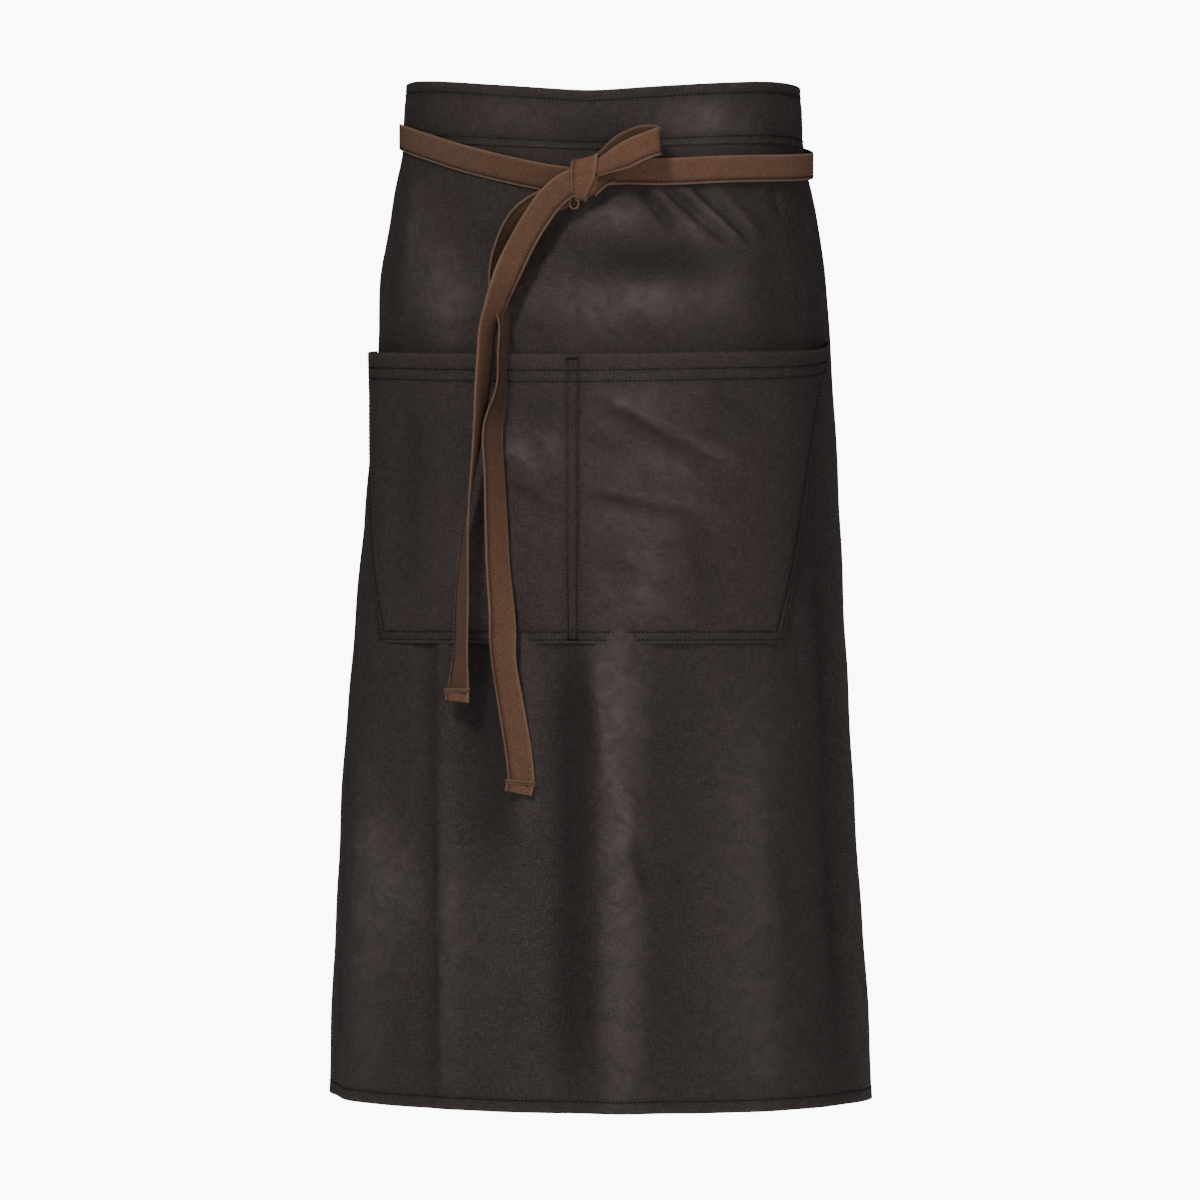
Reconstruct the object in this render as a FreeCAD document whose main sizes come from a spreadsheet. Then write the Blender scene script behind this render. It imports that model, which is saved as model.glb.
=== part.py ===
import FreeCAD, Part
import math
import os

# A long waist apron in its worn shape: a wrapped cloth skirt with a folded waistband, one stitched
# panel that makes two front pockets, and two narrow ties that cross at the back, come round to the
# front and are tied there in a half bow with one loop and two hanging tails.
# Millimetres. The origin is the middle of the waist at the height of the ties: the front faces -Y,
# +X is the viewer's right and +Z is up.

# The inner face of the skirt: height, half width and half depth, from the waist down to the knee.
PROFILE = [(90, 160.5, 118), (14, 163.5, 121), (-35, 172, 130), (-90, 181, 141), (-152, 183.5, 148),
           (-390, 198.5, 153), (-560, 209, 156), (-800, 222.4, 160.6)]
# Heights at which a cloth edge, a thread row or a bend of the profile needs its own cross-section.
LEVELS = {"top": 66, "turn": 58, "top_row": 57, "band_row": 21, "band_edge": 14, "band_under": 8,
          "waist": -35, "hip": -90, "mouth_over": -140, "mouth": -152, "mouth_row": -164,
          "mouth_row_two": -173, "base_row_two": -381, "room_base": -382, "base_row": -387.5,
          "base": -390, "thigh": -560, "hem_row": -758.5, "hem": -768}
SIZES = {
    "panel_width": 856, "cloth_thick": 1, "layer_gap": 0.05,
    "pocket_room": 12, "pocket_rim": 8, "mouth_half_angle": 81, "base_half_angle": 60,
    "divider_width": 10, "divider_row_gap": 9, "tack_height": 4,
    "thread_width": 0.7, "thread_thick": 0.35,
    "edge_row_inset": 2.5, "edge_row_two_inset": 9, "mouth_row_inset": 11, "side_row_inset": 9,
    "tie_row_inset": 2.5,
    "tie_width": 22, "tie_thick": 1.4, "tie_low_layer": 3.6, "tie_high_layer": 5.3,
    "anchor_start": 22, "anchor_length": 38, "anchor_height": 17.6, "anchor_gap": 0.15,
    "knot_width": 20, "knot_depth": 14, "knot_height": 36, "knot_round": 5,
    "knot_x": 12.5, "knot_y": -142.5, "knot_z": -23,
    "loop_length": 35, "loop_start": 8.5, "loop_bend": 4, "loop_rise": 28,
    "loop_x": 24, "loop_y": -141, "loop_z": -14,
}
REACH = 330          # length of the blocks that trim the shells, past every edge of the skirt
ARC_STEPS = 2000     # steps of the sum that measures cloth along a cross-section
SIDE_STEP = 40       # the most height between two cross-sections of a thread row down a back edge

doc = FreeCAD.newDocument("WaistApron")
sheet = doc.addObject("Spreadsheet::Sheet", "Sizes")


def half_sizes(height):
    """Half width and half depth of the skirt's inner face at a height, along straight profile runs."""
    for upper, lower in zip(PROFILE, PROFILE[1:]):
        if lower[0] <= height <= upper[0]:
            share = (height - lower[0]) / (upper[0] - lower[0])
            return [low + share * (high - low) for low, high in zip(lower[1:], upper[1:])]
    raise ValueError(f"no profile at {height}")


def turn_at(half_width, half_depth, length):
    """The ellipse parameter reached after `length` of cloth, from the middle of the front to the back."""
    piece = math.pi / ARC_STEPS
    travelled = 0.0
    for step in range(ARC_STEPS):
        turn = piece * (step + 0.5)
        travelled += piece * math.hypot(half_width * math.cos(turn), half_depth * math.sin(turn))
        if travelled >= length:
            return turn
    raise ValueError("the panel is wider than the cross-section is long")


def edge_of_panel(half_width, half_depth):
    """How far sideways the back edge of the panel lies when it is wrapped on one cross-section."""
    return half_width * math.sin(turn_at(half_width, half_depth, SIZES["panel_width"] / 2))


cells = dict(SIZES)
for level, height in LEVELS.items():
    wide, deep = half_sizes(height)
    cells.update({f"{level}_z": height, f"{level}_half_width": round(wide, 3),
                  f"{level}_half_depth": round(deep, 3),
                  f"{level}_edge_x": round(edge_of_panel(wide, deep), 2)})
for row, (alias, value) in enumerate(cells.items(), start=1):
    sheet.set(f"A{row}", alias)
    sheet.set(f"B{row}", str(value))
    sheet.setAlias(f"B{row}", alias)
doc.recompute()


def size(alias):
    return float(sheet.get(alias))


# ---- helpers: document objects bound to the sheet -------------------------------------------------

def add(kind, name, **sizes):
    """Add a Part object and bind its properties; a double underscore stands for a nested name's dot."""
    made = doc.addObject(f"Part::{kind}", name)
    for prop, expression in sizes.items():
        made.setExpression(prop.replace("__", "."), expression)
    return made


def cut(name, base, tool):
    made = add("Cut", name)
    made.Base = base
    made.Tool = tool
    return made


def common(name, base, tool):
    made = add("Common", name)
    made.Base = base
    made.Tool = tool
    return made


def fuse(name, pieces):
    made = add("MultiFuse", name)
    made.Shapes = pieces
    return made


def loft(name, sections):
    made = add("Loft", name)
    made.Sections = sections
    made.Solid = True
    made.Ruled = True
    return made


def levels_between(high, low):
    """The named cross-sections from `high` down to `low` that the skirt's profile bends at."""
    bends = [height for height, _, _ in PROFILE]
    inside = [name for name, height in LEVELS.items()
              if LEVELS[low] < height < LEVELS[high] and height in bends]
    return [high] + inside + [low]


def wrapped(name, high, low, offset):
    """The solid inside the surface that lies `offset` outside the skirt's inner face."""
    return loft(name, [add("Ellipse", f"{name}_{level}",
                           MajorRadius=f"Sizes.{level}_half_width + {offset}",
                           MinorRadius=f"Sizes.{level}_half_depth + {offset}",
                           Placement__Base__z=f"Sizes.{level}_z") for level in levels_between(high, low)])


def shell(name, high, low, inner, outer):
    """A wrapped layer of cloth between two offsets, all the way round."""
    return cut(name, wrapped(f"{name}_out", high, low, outer), wrapped(f"{name}_in", high, low, inner))


def row_ring(name, level, face):
    """A thread row round the whole body at one height, lying on the cloth face at offset `face`."""
    rings = []
    for side, offset in (("out", f"{face} + Sizes.layer_gap + Sizes.thread_thick"),
                         ("in", f"{face} + Sizes.layer_gap")):
        rings.append(loft(f"{name}_{side}", [
            add("Ellipse", f"{name}_{side}_{end}", MajorRadius=f"Sizes.{level}_half_width + {offset}",
                MinorRadius=f"Sizes.{level}_half_depth + {offset}",
                Placement__Base__z=f"Sizes.{level}_z + {shift}")
            for end, shift in (("low", "0"), ("high", "Sizes.thread_width"))]))
    return cut(name, rings[0], rings[1])


def back_opening(name, inset="0"):
    """The wedge of air between the panel's two back edges, widened by `inset` on each side."""
    return loft(name, [add("Plane", f"{name}_{level}", Length=f"2 * (Sizes.{level}_edge_x + {inset})",
                           Width=f"{REACH}", Placement__Base__x=f"-Sizes.{level}_edge_x - {inset}",
                           Placement__Base__z=f"Sizes.{level}_z")
                       for level in levels_between("top", "hem")])


def fan_section(name, half_angle, level, inset):
    """A level outline that opens from the middle of the body to the front, narrowed by `inset`."""
    height = size(f"{level}_z")
    corner = FreeCAD.Vector(0, -inset / math.sin(half_angle), height)
    side = corner + FreeCAD.Vector(REACH * math.sin(half_angle), -REACH * math.cos(half_angle), 0)
    outline = add("Polygon", name)
    outline.Nodes = [corner, side, FreeCAD.Vector(REACH, -2 * REACH, height),
                     FreeCAD.Vector(-REACH, -2 * REACH, height), FreeCAD.Vector(-side.x, side.y, height)]
    outline.Close = True
    return outline


def pocket_fan(name, high, low, inset=0.0):
    """The space over the pocket panel between two levels, narrowed by `inset` along its sides."""
    ends = []
    for level in (high, low):
        share = (size("mouth_z") - size(f"{level}_z")) / (size("mouth_z") - size("base_z"))
        angle = size("mouth_half_angle") + share * (size("base_half_angle") - size("mouth_half_angle"))
        ends.append(fan_section(f"{name}_{level}", math.radians(angle), level, inset))
    return loft(name, ends)


def strap_zone(name, stations, rise="0", height="Sizes.tie_width"):
    """A ribbon-high space that follows the heights in `stations`, (x, middle height) from left to right.

    It fills the front half when the name ends in front, and the back half otherwise."""
    sections = []
    for number, (across, middle) in enumerate(stations):
        plane = add("Plane", f"{name}_{number}", Width=height,
                    Placement__Base__z=f"{middle} + {rise} - ({height}) / 2")
        plane.Length = REACH
        plane.Placement.Base.x = across
        plane.Placement.Base.y = -REACH if name.endswith("front") else 0
        plane.Placement.Rotation = FreeCAD.Rotation(FreeCAD.Vector(0, 1, 0), FreeCAD.Vector(0, 0, 1),
                                                    FreeCAD.Vector(1, 0, 0), "XYZ")
        sections.append(plane)
    return loft(name, sections)


def ribbon(name, path, width_ways, wide="Sizes.tie_width", thick="Sizes.tie_thick", lift=0.0, shift=0.0):
    """A flat strip through the points of `path`; `width_ways` is its width direction at each point.

    `lift` moves it off its own middle plane, and `shift` moves it along its width."""
    sections = []
    for number, point in enumerate(path):
        before = FreeCAD.Vector(*path[max(number - 1, 0)])
        after = FreeCAD.Vector(*path[min(number + 1, len(path) - 1)])
        along = (after - before).normalize()
        width_way = FreeCAD.Vector(*width_ways[number])
        width_way = (width_way - along * width_way.dot(along)).normalize()
        thick_way = along.cross(width_way)
        plane = add("Plane", f"{name}_{number}", Length=wide, Width=thick)
        corner = (FreeCAD.Vector(*point) + width_way * (shift - size(wide.removeprefix("Sizes.")) / 2)
                  + thick_way * (lift - size(thick.removeprefix("Sizes.")) / 2))
        plane.Placement = FreeCAD.Placement(corner, FreeCAD.Rotation(width_way, thick_way, along, "XYZ"))
        sections.append(plane)
    return loft(name, sections)


parts = []


def finish(label, made):
    made.Label = label
    parts.append(made)


# ---- skirt and waistband --------------------------------------------------------------------------

opening = back_opening("back_opening")
skirt_face = "Sizes.cloth_thick"
finish("skirt_panel", cut("skirt", shell("skirt_layer", "turn", "hem", "0", skirt_face), opening))

# the band is one strip folded over the top of the skirt, with a leg on each face of the cloth
band_face = "2 * Sizes.cloth_thick + Sizes.layer_gap"
band_layer = shell("band_layer", "top", "band_edge", "-Sizes.cloth_thick - Sizes.layer_gap", band_face)
band_slot = shell("band_slot", "turn", "band_under",
                  "-Sizes.layer_gap", "Sizes.cloth_thick + Sizes.layer_gap")
finish("waistband", cut("band", cut("band_folded", band_layer, band_slot), opening))

for label, level, face in (("waistband_top_stitching", "top_row", band_face),
                           ("waistband_lower_stitching", "band_row", band_face),
                           ("skirt_hem_stitching", "hem_row", skirt_face)):
    finish(label, cut(f"{level}_thread", row_ring(f"{level}_ring", level, face), opening))

# ---- pocket panel: hollow over each pocket, closed at its sides, its base and its divider ---------

pocket_inside = "Sizes.cloth_thick + Sizes.layer_gap"
room_face = f"{pocket_inside} + Sizes.pocket_room"
pocket_face = f"{room_face} + Sizes.cloth_thick"
pocket_block = common("pocket_block", shell("pocket_layer", "mouth", "base", pocket_inside, pocket_face),
                      pocket_fan("pocket_fan", "mouth_over", "thigh"))
pocket_room = common("pocket_room",
                     shell("room_layer", "mouth_over", "room_base", pocket_inside, room_face),
                     pocket_fan("room_fan", "hip", "thigh", size("pocket_rim")))
divider = add("Box", "divider", Length="Sizes.divider_width", Width=f"{REACH}", Height=f"{2 * REACH}",
              Placement__Base__x="-Sizes.divider_width / 2", Placement__Base__y=f"{-REACH}",
              Placement__Base__z=f"{-2 * REACH}")
finish("pocket_panel", cut("pocket", pocket_block, cut("pocket_rooms", pocket_room, divider)))


def thread_layer(name, face, layer=0, high="mouth", low="base"):
    """The thin wrapped layer in which thread lies on a cloth face; later layers lie on earlier ones."""
    foot = f"{face} + Sizes.layer_gap + {layer} * (Sizes.layer_gap + Sizes.thread_thick)"
    return shell(name, high, low, foot, f"{foot} + Sizes.thread_thick")


def pocket_side_band(name, inset):
    """The space of one thread row that runs down both sides of the pocket panel, `inset` from them."""
    return cut(name, pocket_fan(f"{name}_out", "mouth_over", "thigh", inset),
               pocket_fan(f"{name}_in", "mouth_over", "thigh", inset + size("thread_width")))


mouth_rows = fuse("mouth_rows", [row_ring(f"{level}_ring", level, pocket_face)
                                 for level in ("mouth_row", "mouth_row_two")])
finish("pocket_mouth_stitching", common("mouth_threads", mouth_rows,
                                        pocket_fan("mouth_thread_fan", "mouth_over", "thigh",
                                                   size("mouth_row_inset"))))

side_rows = [common(f"side_row_{inset}", thread_layer(f"side_row_layer_{inset}", pocket_face),
                    pocket_side_band(f"side_band_{inset}", size(inset)))
             for inset in ("edge_row_inset", "edge_row_two_inset")]
base_rows = [common(f"{level}_thread", row_ring(f"{level}_ring", level, pocket_face),
                    pocket_fan(f"{level}_fan", "mouth_over", "thigh", size(inset)))
             for level, inset in (("base_row", "edge_row_inset"), ("base_row_two", "edge_row_two_inset"))]
finish("pocket_edge_stitching", fuse("pocket_edge_threads", side_rows + base_rows))

divider_boxes = []
for side in (-1, 1):
    divider_boxes.append(add("Box", f"divider_row_{side + 1}", Length="Sizes.thread_width",
                             Width=f"{REACH}", Height="Sizes.mouth_z - Sizes.base_row_two_z - 1",
                             Placement__Base__x=f"{side} * Sizes.divider_row_gap / 2"
                                                " - Sizes.thread_width / 2",
                             Placement__Base__y=f"{-REACH}", Placement__Base__z="Sizes.base_row_two_z + 1"))
finish("pocket_divider_stitching", common("divider_threads", thread_layer("divider_layer", pocket_face, 1),
                                          fuse("divider_rows", divider_boxes)))

tack_boxes = [add("Box", f"tack_{level}", Length="Sizes.divider_width", Width=f"{REACH}",
                  Height="Sizes.tack_height", Placement__Base__x="-Sizes.divider_width / 2",
                  Placement__Base__y=f"{-REACH}", Placement__Base__z=f"Sizes.{level}_z + {shift}")
              for level, shift in (("mouth", "-Sizes.tack_height - 1"), ("base", "1"))]
finish("pocket_bar_tacks", common("tack_threads", thread_layer("tack_layer", pocket_face, 2),
                                  fuse("tack_places", tack_boxes)))

# the thread rows down the two back edges of the skirt follow their slanting edges as strips, with a
# cross-section wherever the profile bends
row_ends = [size("band_under_z"), size("hem_row_z") + 1]
row_bends = sorted([z for z, _, _ in PROFILE if row_ends[1] < z < row_ends[0]] + row_ends, reverse=True)
row_heights = [row_bends[0]]
for low_end in row_bends[1:]:
    run = row_heights[-1] - low_end
    pieces = math.ceil(run / SIDE_STEP)
    row_heights += [row_heights[-1] - run * piece / pieces for piece in range(1, pieces + 1)]
side_threads = []
for side in (-1, 1):
    path, ways = [], []
    for height in row_heights:
        wide, deep = half_sizes(height)
        turn = turn_at(wide, deep, size("panel_width") / 2 - size("side_row_inset"))
        stand_off = size("cloth_thick") + 2 * size("layer_gap") + size("thread_thick")
        path.append((side * (wide + stand_off) * math.sin(turn), -(deep + stand_off) * math.cos(turn),
                     height))
        ways.append((side * wide * math.cos(turn), deep * math.sin(turn), 0))
    side_threads.append(ribbon(f"side_thread_{side + 1}", path, ways,
                               "Sizes.thread_width", "Sizes.thread_thick"))
side_pair = add("Compound", "side_pair")
side_pair.Links = side_threads
finish("skirt_side_stitching", side_pair)

# ---- ties round the waist -------------------------------------------------------------------------

# Each tie is sewn to one back end of the band, crosses the other one at the back and comes round the
# far side to the front. Each station is the tie's middle height at a distance from the middle.
TIES = {
    "left": {"layer": "tie_low_layer",
             "front": [(-175, 21), (-91, -4), (-28, -21), (1, -25)],
             "back": [(-175, 21), (0, 24), (60, 25.5)]},
    "right": {"layer": "tie_high_layer",
              "front": [(20, -19), (59, -17.5), (111, -14), (175, -5)],
              "back": [(-60, 51), (0, 42), (60, 31), (111, 16), (175, -5)]},
}
for tie, run in TIES.items():
    inner = f"Sizes.{run['layer']}"
    outer = f"{inner} + Sizes.tie_thick"
    strap = shell(f"{tie}_tie_layer", "top", "hip", inner, outer)
    zones = [strap_zone(f"{tie}_tie_{half}", run[half]) for half in ("back", "front")]
    finish(f"{tie}_tie_waist_strap", common(f"{tie}_tie", strap, fuse(f"{tie}_tie_zones", zones)))
    row_rise = "Sizes.tie_row_inset - Sizes.tie_width / 2"
    row_zones = [strap_zone(f"{tie}_tie_row_{half}", run[half], row_rise, "Sizes.thread_width")
                 for half in ("back", "front")]
    finish(f"{tie}_tie_edge_stitching",
           common(f"{tie}_tie_threads", thread_layer(f"{tie}_tie_row_layer", outer, 0, "top", "hip"),
                  fuse(f"{tie}_tie_row_zones", row_zones)))

# each tie's end is held to the band by a sewn rectangle, seen on the inner face of the band
anchor_frames = []
for tie, side, middle in (("left", 1, 25), ("right", -1, 48)):
    blocks = []
    for rim, name in (("0", "out"), ("Sizes.thread_width", "in")):
        blocks.append(add("Box", f"{tie}_anchor_{name}", Length=f"Sizes.anchor_length - 2 * {rim}",
                          Width=f"{REACH}", Height=f"Sizes.anchor_height - 2 * {rim}",
                          Placement__Base__x=f"{side} * (Sizes.anchor_start + Sizes.anchor_length / 2)"
                                             f" - Sizes.anchor_length / 2 + {rim}",
                          Placement__Base__z=f"{middle} - Sizes.anchor_height / 2 + {rim}"))
    anchor_frames.append(cut(f"{tie}_anchor_frame", blocks[0], blocks[1]))
band_back = "Sizes.cloth_thick + Sizes.layer_gap + Sizes.anchor_gap"
anchor_layer = shell("anchor_layer", "top", "band_edge",
                     f"-({band_back}) - Sizes.thread_thick", f"-({band_back})")
finish("tie_anchor_stitching", common("anchor_threads", anchor_layer, fuse("anchor_places", anchor_frames)))

# ---- knot and bow loop ----------------------------------------------------------------------------

knot_block = add("Box", "knot_block", Length="Sizes.knot_width", Width="Sizes.knot_depth",
                 Height="Sizes.knot_height", Placement__Base__x="Sizes.knot_x - Sizes.knot_width / 2",
                 Placement__Base__y="Sizes.knot_y - Sizes.knot_depth / 2",
                 Placement__Base__z="Sizes.knot_z - Sizes.knot_height / 2")
doc.recompute()
knot = doc.addObject("Part::Fillet", "knot")
knot.Base = knot_block
knot.Edges = [(edge, size("knot_round"), size("knot_round"))
              for edge in range(1, len(knot_block.Shape.Edges) + 1)]
finish("tie_knot", knot)


def loop_solid(name, skin):
    """A flat bar with one round end, as thick as the loop's bend and `skin` more on each face."""
    bar = add("Box", f"{name}_bar", Length="Sizes.loop_length", Width=f"2 * (Sizes.loop_bend + {skin})",
              Height="Sizes.tie_width", Placement__Base__y=f"-Sizes.loop_bend - {skin}")
    bend = add("Cylinder", f"{name}_bend", Radius=f"Sizes.loop_bend + {skin}", Height="Sizes.tie_width",
               Placement__Base__x="Sizes.loop_length")
    return fuse(name, [bar, bend])


def loop_place(along, across):
    """The loop's placement: its length rises to the right, its thickness points to the front."""
    rise = math.radians(size("loop_rise"))
    length_way = FreeCAD.Vector(math.cos(rise), 0, math.sin(rise))
    width_way = FreeCAD.Vector(math.sin(rise), 0, -math.cos(rise))
    root = FreeCAD.Vector(size("loop_x"), size("loop_y"), size("loop_z"))
    return FreeCAD.Placement(root + length_way * along + width_way * across,
                             FreeCAD.Rotation(length_way, FreeCAD.Vector(0, -1, 0), width_way, "XYZ"))


loop = cut("loop", loop_solid("loop_outer", "Sizes.tie_thick / 2"),
           loop_solid("loop_inner", "-Sizes.tie_thick / 2"))
loop.Placement = loop_place(size("loop_start"), -size("tie_width") / 2)
finish("bow_loop", loop)
loop_row = add("Box", "loop_row", Length="Sizes.loop_length", Width="Sizes.thread_thick",
               Height="Sizes.thread_width")
loop_row.Placement = loop_place(size("loop_start"), size("tie_width") / 2 - size("tie_row_inset"))
loop_row.Placement.Base.y -= size("loop_bend") + size("tie_thick") / 2 + size("layer_gap")
finish("bow_loop_stitching", loop_row)

# ---- hanging tails --------------------------------------------------------------------------------

# Each point of a tail is a place on its middle line and the way that its width lies there, from the
# edge on the left at the knot to the other one. The short tail turns half over on its way down.
TAILS = {
    "long_tail": {
        "stitched_side": -1,
        "upper": [((-2.8, -138.5, -35), (0, 0, -1)), ((-10, -139.3, -36.5), (0.1, 0, -1)),
                  ((-24, -141, -42), (0.3, 0.1, -0.9)),
                  ((-48, -143.5, -58), (0.4, 0.75, -0.5)), ((-60, -147.5, -79), (0.5, 0.85, 0)),
                  ((-64, -153, -111), (0.85, 0.3, 0)), ((-63.5, -156.5, -143), (1, -0.27, 0)),
                  ((-63, -157.5, -188), (1, -0.27, 0)), ((-63, -158.6, -224), (1, -0.27, 0)),
                  ((-62.5, -159.6, -261), (1, -0.27, 0)), ((-61.5, -160.8, -298), (1, -0.27, 0))],
        "lower": [((-61.5, -160.8, -298.6), (1, -0.27, 0)), ((-58.5, -163, -370), (1, -0.27, 0)),
                  ((-54, -163, -407), (1, -0.2, 0)), ((-48, -161, -446), (1, -0.1, 0)),
                  ((-41, -159.5, -494), (1, 0, 0)), ((-43.5, -159.5, -514), (1, 0, 0.2))]},
    "short_tail": {
        "stitched_side": 1,
        "upper": [((-2.8, -146.2, -28.5), (0, 0, -1)), ((-7.5, -147.2, -30.5), (0.2, 0, -0.97)),
                  ((-15.7, -149, -38), (0.5, 0, -0.85)),
                  ((-28.7, -154, -56), (0.8, 0, -0.6)), ((-42, -158.5, -80), (0.85, 0, -0.5)),
                  ((-53.5, -161.5, -114), (0.95, -0.1, -0.3)), ((-61, -163.3, -144), (1, -0.1, -0.1)),
                  ((-63.5, -166, -166), (0.98, 0.1, 0))],
        "lower": [((-63.5, -166, -166.6), (0.98, 0.1, 0)), ((-66, -169, -188), (0.85, 0.5, 0)),
                  ((-71, -172.5, -222), (0.5, 0.87, 0)), ((-74, -173.5, -240), (0.25, 0.97, 0)),
                  ((-77.5, -171, -261), (0, 1, 0)), ((-83.5, -164.5, -294), (-0.6, 0.8, 0)),
                  ((-87.5, -159.5, -324), (-0.9, 0.35, 0)), ((-90.5, -157.5, -353), (-1, 0.35, 0)),
                  ((-93, -156.5, -407), (-1, 0.3, 0)), ((-94.5, -155, -441), (-1, 0.2, 0))]},
}
for tail, strip in TAILS.items():
    side = strip["stitched_side"]
    over = (size("tie_thick") + size("thread_thick")) / 2 + size("layer_gap")
    for half in ("upper", "lower"):
        path = [point for point, _ in strip[half]]
        ways = [way for _, way in strip[half]]
        finish(f"{tail}_{half}", ribbon(f"{tail}_{half}", path, ways))
        finish(f"{tail}_{half}_stitching",
               ribbon(f"{tail}_{half}_row", path, ways, "Sizes.thread_width", "Sizes.thread_thick",
                      over, side * (size("tie_width") / 2 - size("tie_row_inset"))))

# ---- check and write ------------------------------------------------------------------------------

doc.recompute()
for item in doc.Objects:
    if "Invalid" in item.State or "Error" in item.State:
        raise RuntimeError(f"{item.Name} did not build")
os.makedirs("parts", exist_ok=True)
for item in parts:
    if item.Shape.isNull() or not item.Shape.isValid() or item.Shape.Volume <= 0:
        raise RuntimeError(f"{item.Label} has no valid solid")
for item in parts:
    item.Shape.exportStep(f"parts/{item.Label}.step")
    print(f"{item.Label}: {len(item.Shape.Solids)} solid(s), {item.Shape.Volume:.1f} mm3")
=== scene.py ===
import math
import bpy
import numpy as np
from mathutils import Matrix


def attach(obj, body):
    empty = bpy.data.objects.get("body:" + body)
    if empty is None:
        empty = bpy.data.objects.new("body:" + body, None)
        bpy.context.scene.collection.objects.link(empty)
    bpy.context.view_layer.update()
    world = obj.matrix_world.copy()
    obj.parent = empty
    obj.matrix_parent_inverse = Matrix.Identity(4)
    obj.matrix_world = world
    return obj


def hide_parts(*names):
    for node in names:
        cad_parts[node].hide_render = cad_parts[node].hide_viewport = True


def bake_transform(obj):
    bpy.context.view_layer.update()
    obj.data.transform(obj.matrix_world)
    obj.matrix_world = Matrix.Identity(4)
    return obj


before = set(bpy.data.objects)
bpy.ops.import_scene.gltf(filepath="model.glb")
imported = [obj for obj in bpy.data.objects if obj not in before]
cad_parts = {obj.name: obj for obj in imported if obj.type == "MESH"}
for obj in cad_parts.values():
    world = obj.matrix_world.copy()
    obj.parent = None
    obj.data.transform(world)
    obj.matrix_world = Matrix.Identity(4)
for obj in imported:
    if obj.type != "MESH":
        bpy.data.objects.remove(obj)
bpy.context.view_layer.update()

# Waist apron, in metres: +Z is up, the front faces -Y. Every cloth piece is a numpy surface.


# ease: rises from 0 to 1 between low and high as 3u^2 - 2u^3
def ease(x, low, high):
    u = np.clip((np.asarray(x, float) - low) / (high - low), 0, 1)
    return u * u * (3 - 2 * u)


# bell: exp(-(x / wide)^2)
def bell(x, wide):
    return np.exp(-(x / wide) ** 2)


# graded: one row of numbers from straight runs, each with its own spacing
def graded(*runs):
    rows = [np.linspace(low, high, max(2, int(round(abs(high - low) / step)) + 1)) for low, high, step in runs]
    return np.unique(np.round(np.concatenate(rows), 6))


# evenTable: straight lines through the stations, then averaged with a bell-shaped weight
def evenTable(places, values, table, wide):
    step = table[1] - table[0]
    reach = int(3 * wide / step) + 1
    weights = bell(np.arange(-reach, reach + 1) * step, wide * 1.414)
    padded = np.pad(np.interp(table, places, values), reach, mode="reflect", reflect_type="odd")
    return np.convolve(padded, weights / weights.sum(), mode="valid")


# smoothPath: cubic pieces between stations, each starting and ending with the slope of its neighbours
def smoothPath(stations, spacing):
    stations = np.array(stations, float)
    knots = np.concatenate([[0], np.cumsum(np.linalg.norm(np.diff(stations[:, :3], axis=0), axis=1))])
    slopes = np.gradient(stations, knots, axis=0)
    along = np.linspace(0, knots[-1], int(math.ceil(knots[-1] / spacing)) + 1)
    first = np.clip(np.searchsorted(knots, along, side="right") - 1, 0, len(knots) - 2)
    gap = (knots[first + 1] - knots[first])[:, None]
    f = (along - knots[first])[:, None] / gap
    return ((2 * f**3 - 3 * f**2 + 1) * stations[first] + (f**3 - 2 * f**2 + f) * gap * slopes[first]
            + (3 * f**2 - 2 * f**3) * stations[first + 1] + (f**3 - f**2) * gap * slopes[first + 1])


def unit(vectors):
    return vectors / np.maximum(np.linalg.norm(vectors, axis=-1, keepdims=True), 1e-12)


def distances(points):
    return np.concatenate([[0], np.cumsum(np.linalg.norm(np.diff(points, axis=0), axis=1))])


wornShape = {
    "heights": [-0.84, -0.56, -0.39, -0.152, -0.09, -0.035, 0.014, 0.11],
    "halfWidths": [0.2246, 0.209, 0.1985, 0.1835, 0.181, 0.172, 0.1635, 0.1597],
    "halfDepths": [0.1614, 0.156, 0.153, 0.148, 0.141, 0.13, 0.121, 0.1172],
    "roundOff": 0.012,
    "droop": 0.0172,          # how far the middle of the front sags below the sides
    "droopPlaces": [
        -0.2, -0.15, -0.12, -0.08, -0.04, -0.012, 0.006, 0.022, 0.04, 0.08, 0.12, 0.15, 0.2,
    ],
    "droopShares": [
        0.0, 0.02, 0.24, 0.54, 0.78, 0.93, 1.0, 0.98, 0.9, 0.72, 0.5, 0.3, 0.28,
    ],
    "droopFrom": -0.1, "droopFull": 0.07,
    # how far the left and the right side of the skirt swing to the left, at heights down the skirt
    "swingHeights": [
        -0.8, -0.764, -0.674, -0.575, -0.476, -0.377, -0.302, -0.228, -0.154, -0.08, -0.022, 0.03,
    ],
    "leftSwing": [
        0.0045, 0.0048, 0.0056, 0.0076, 0.0083, 0.008, 0.0062, 0.004, 0.0024, 0.0022, 0.002, 0.0,
    ],
    "rightSwing": [
        0.0016, 0.002, 0.0044, 0.0062, 0.0064, 0.0052, 0.0036, 0.0012, -0.0022, -0.0036, -0.0018, 0.0,
    ],
}
heightStep, lengthStep = 0.002, 0.0005
heightTable = np.arange(-0.84, 0.1101, heightStep)
widthTable = evenTable(wornShape["heights"], wornShape["halfWidths"], heightTable, wornShape["roundOff"])
depthTable = evenTable(wornShape["heights"], wornShape["halfDepths"], heightTable, wornShape["roundOff"])
acrossTable = np.arange(-0.22, 0.2201, 0.002)
droopTable = evenTable(wornShape["droopPlaces"], wornShape["droopShares"], acrossTable, 0.007)
leftSwingTable = evenTable(wornShape["swingHeights"], wornShape["leftSwing"], heightTable, 0.015)
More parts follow.
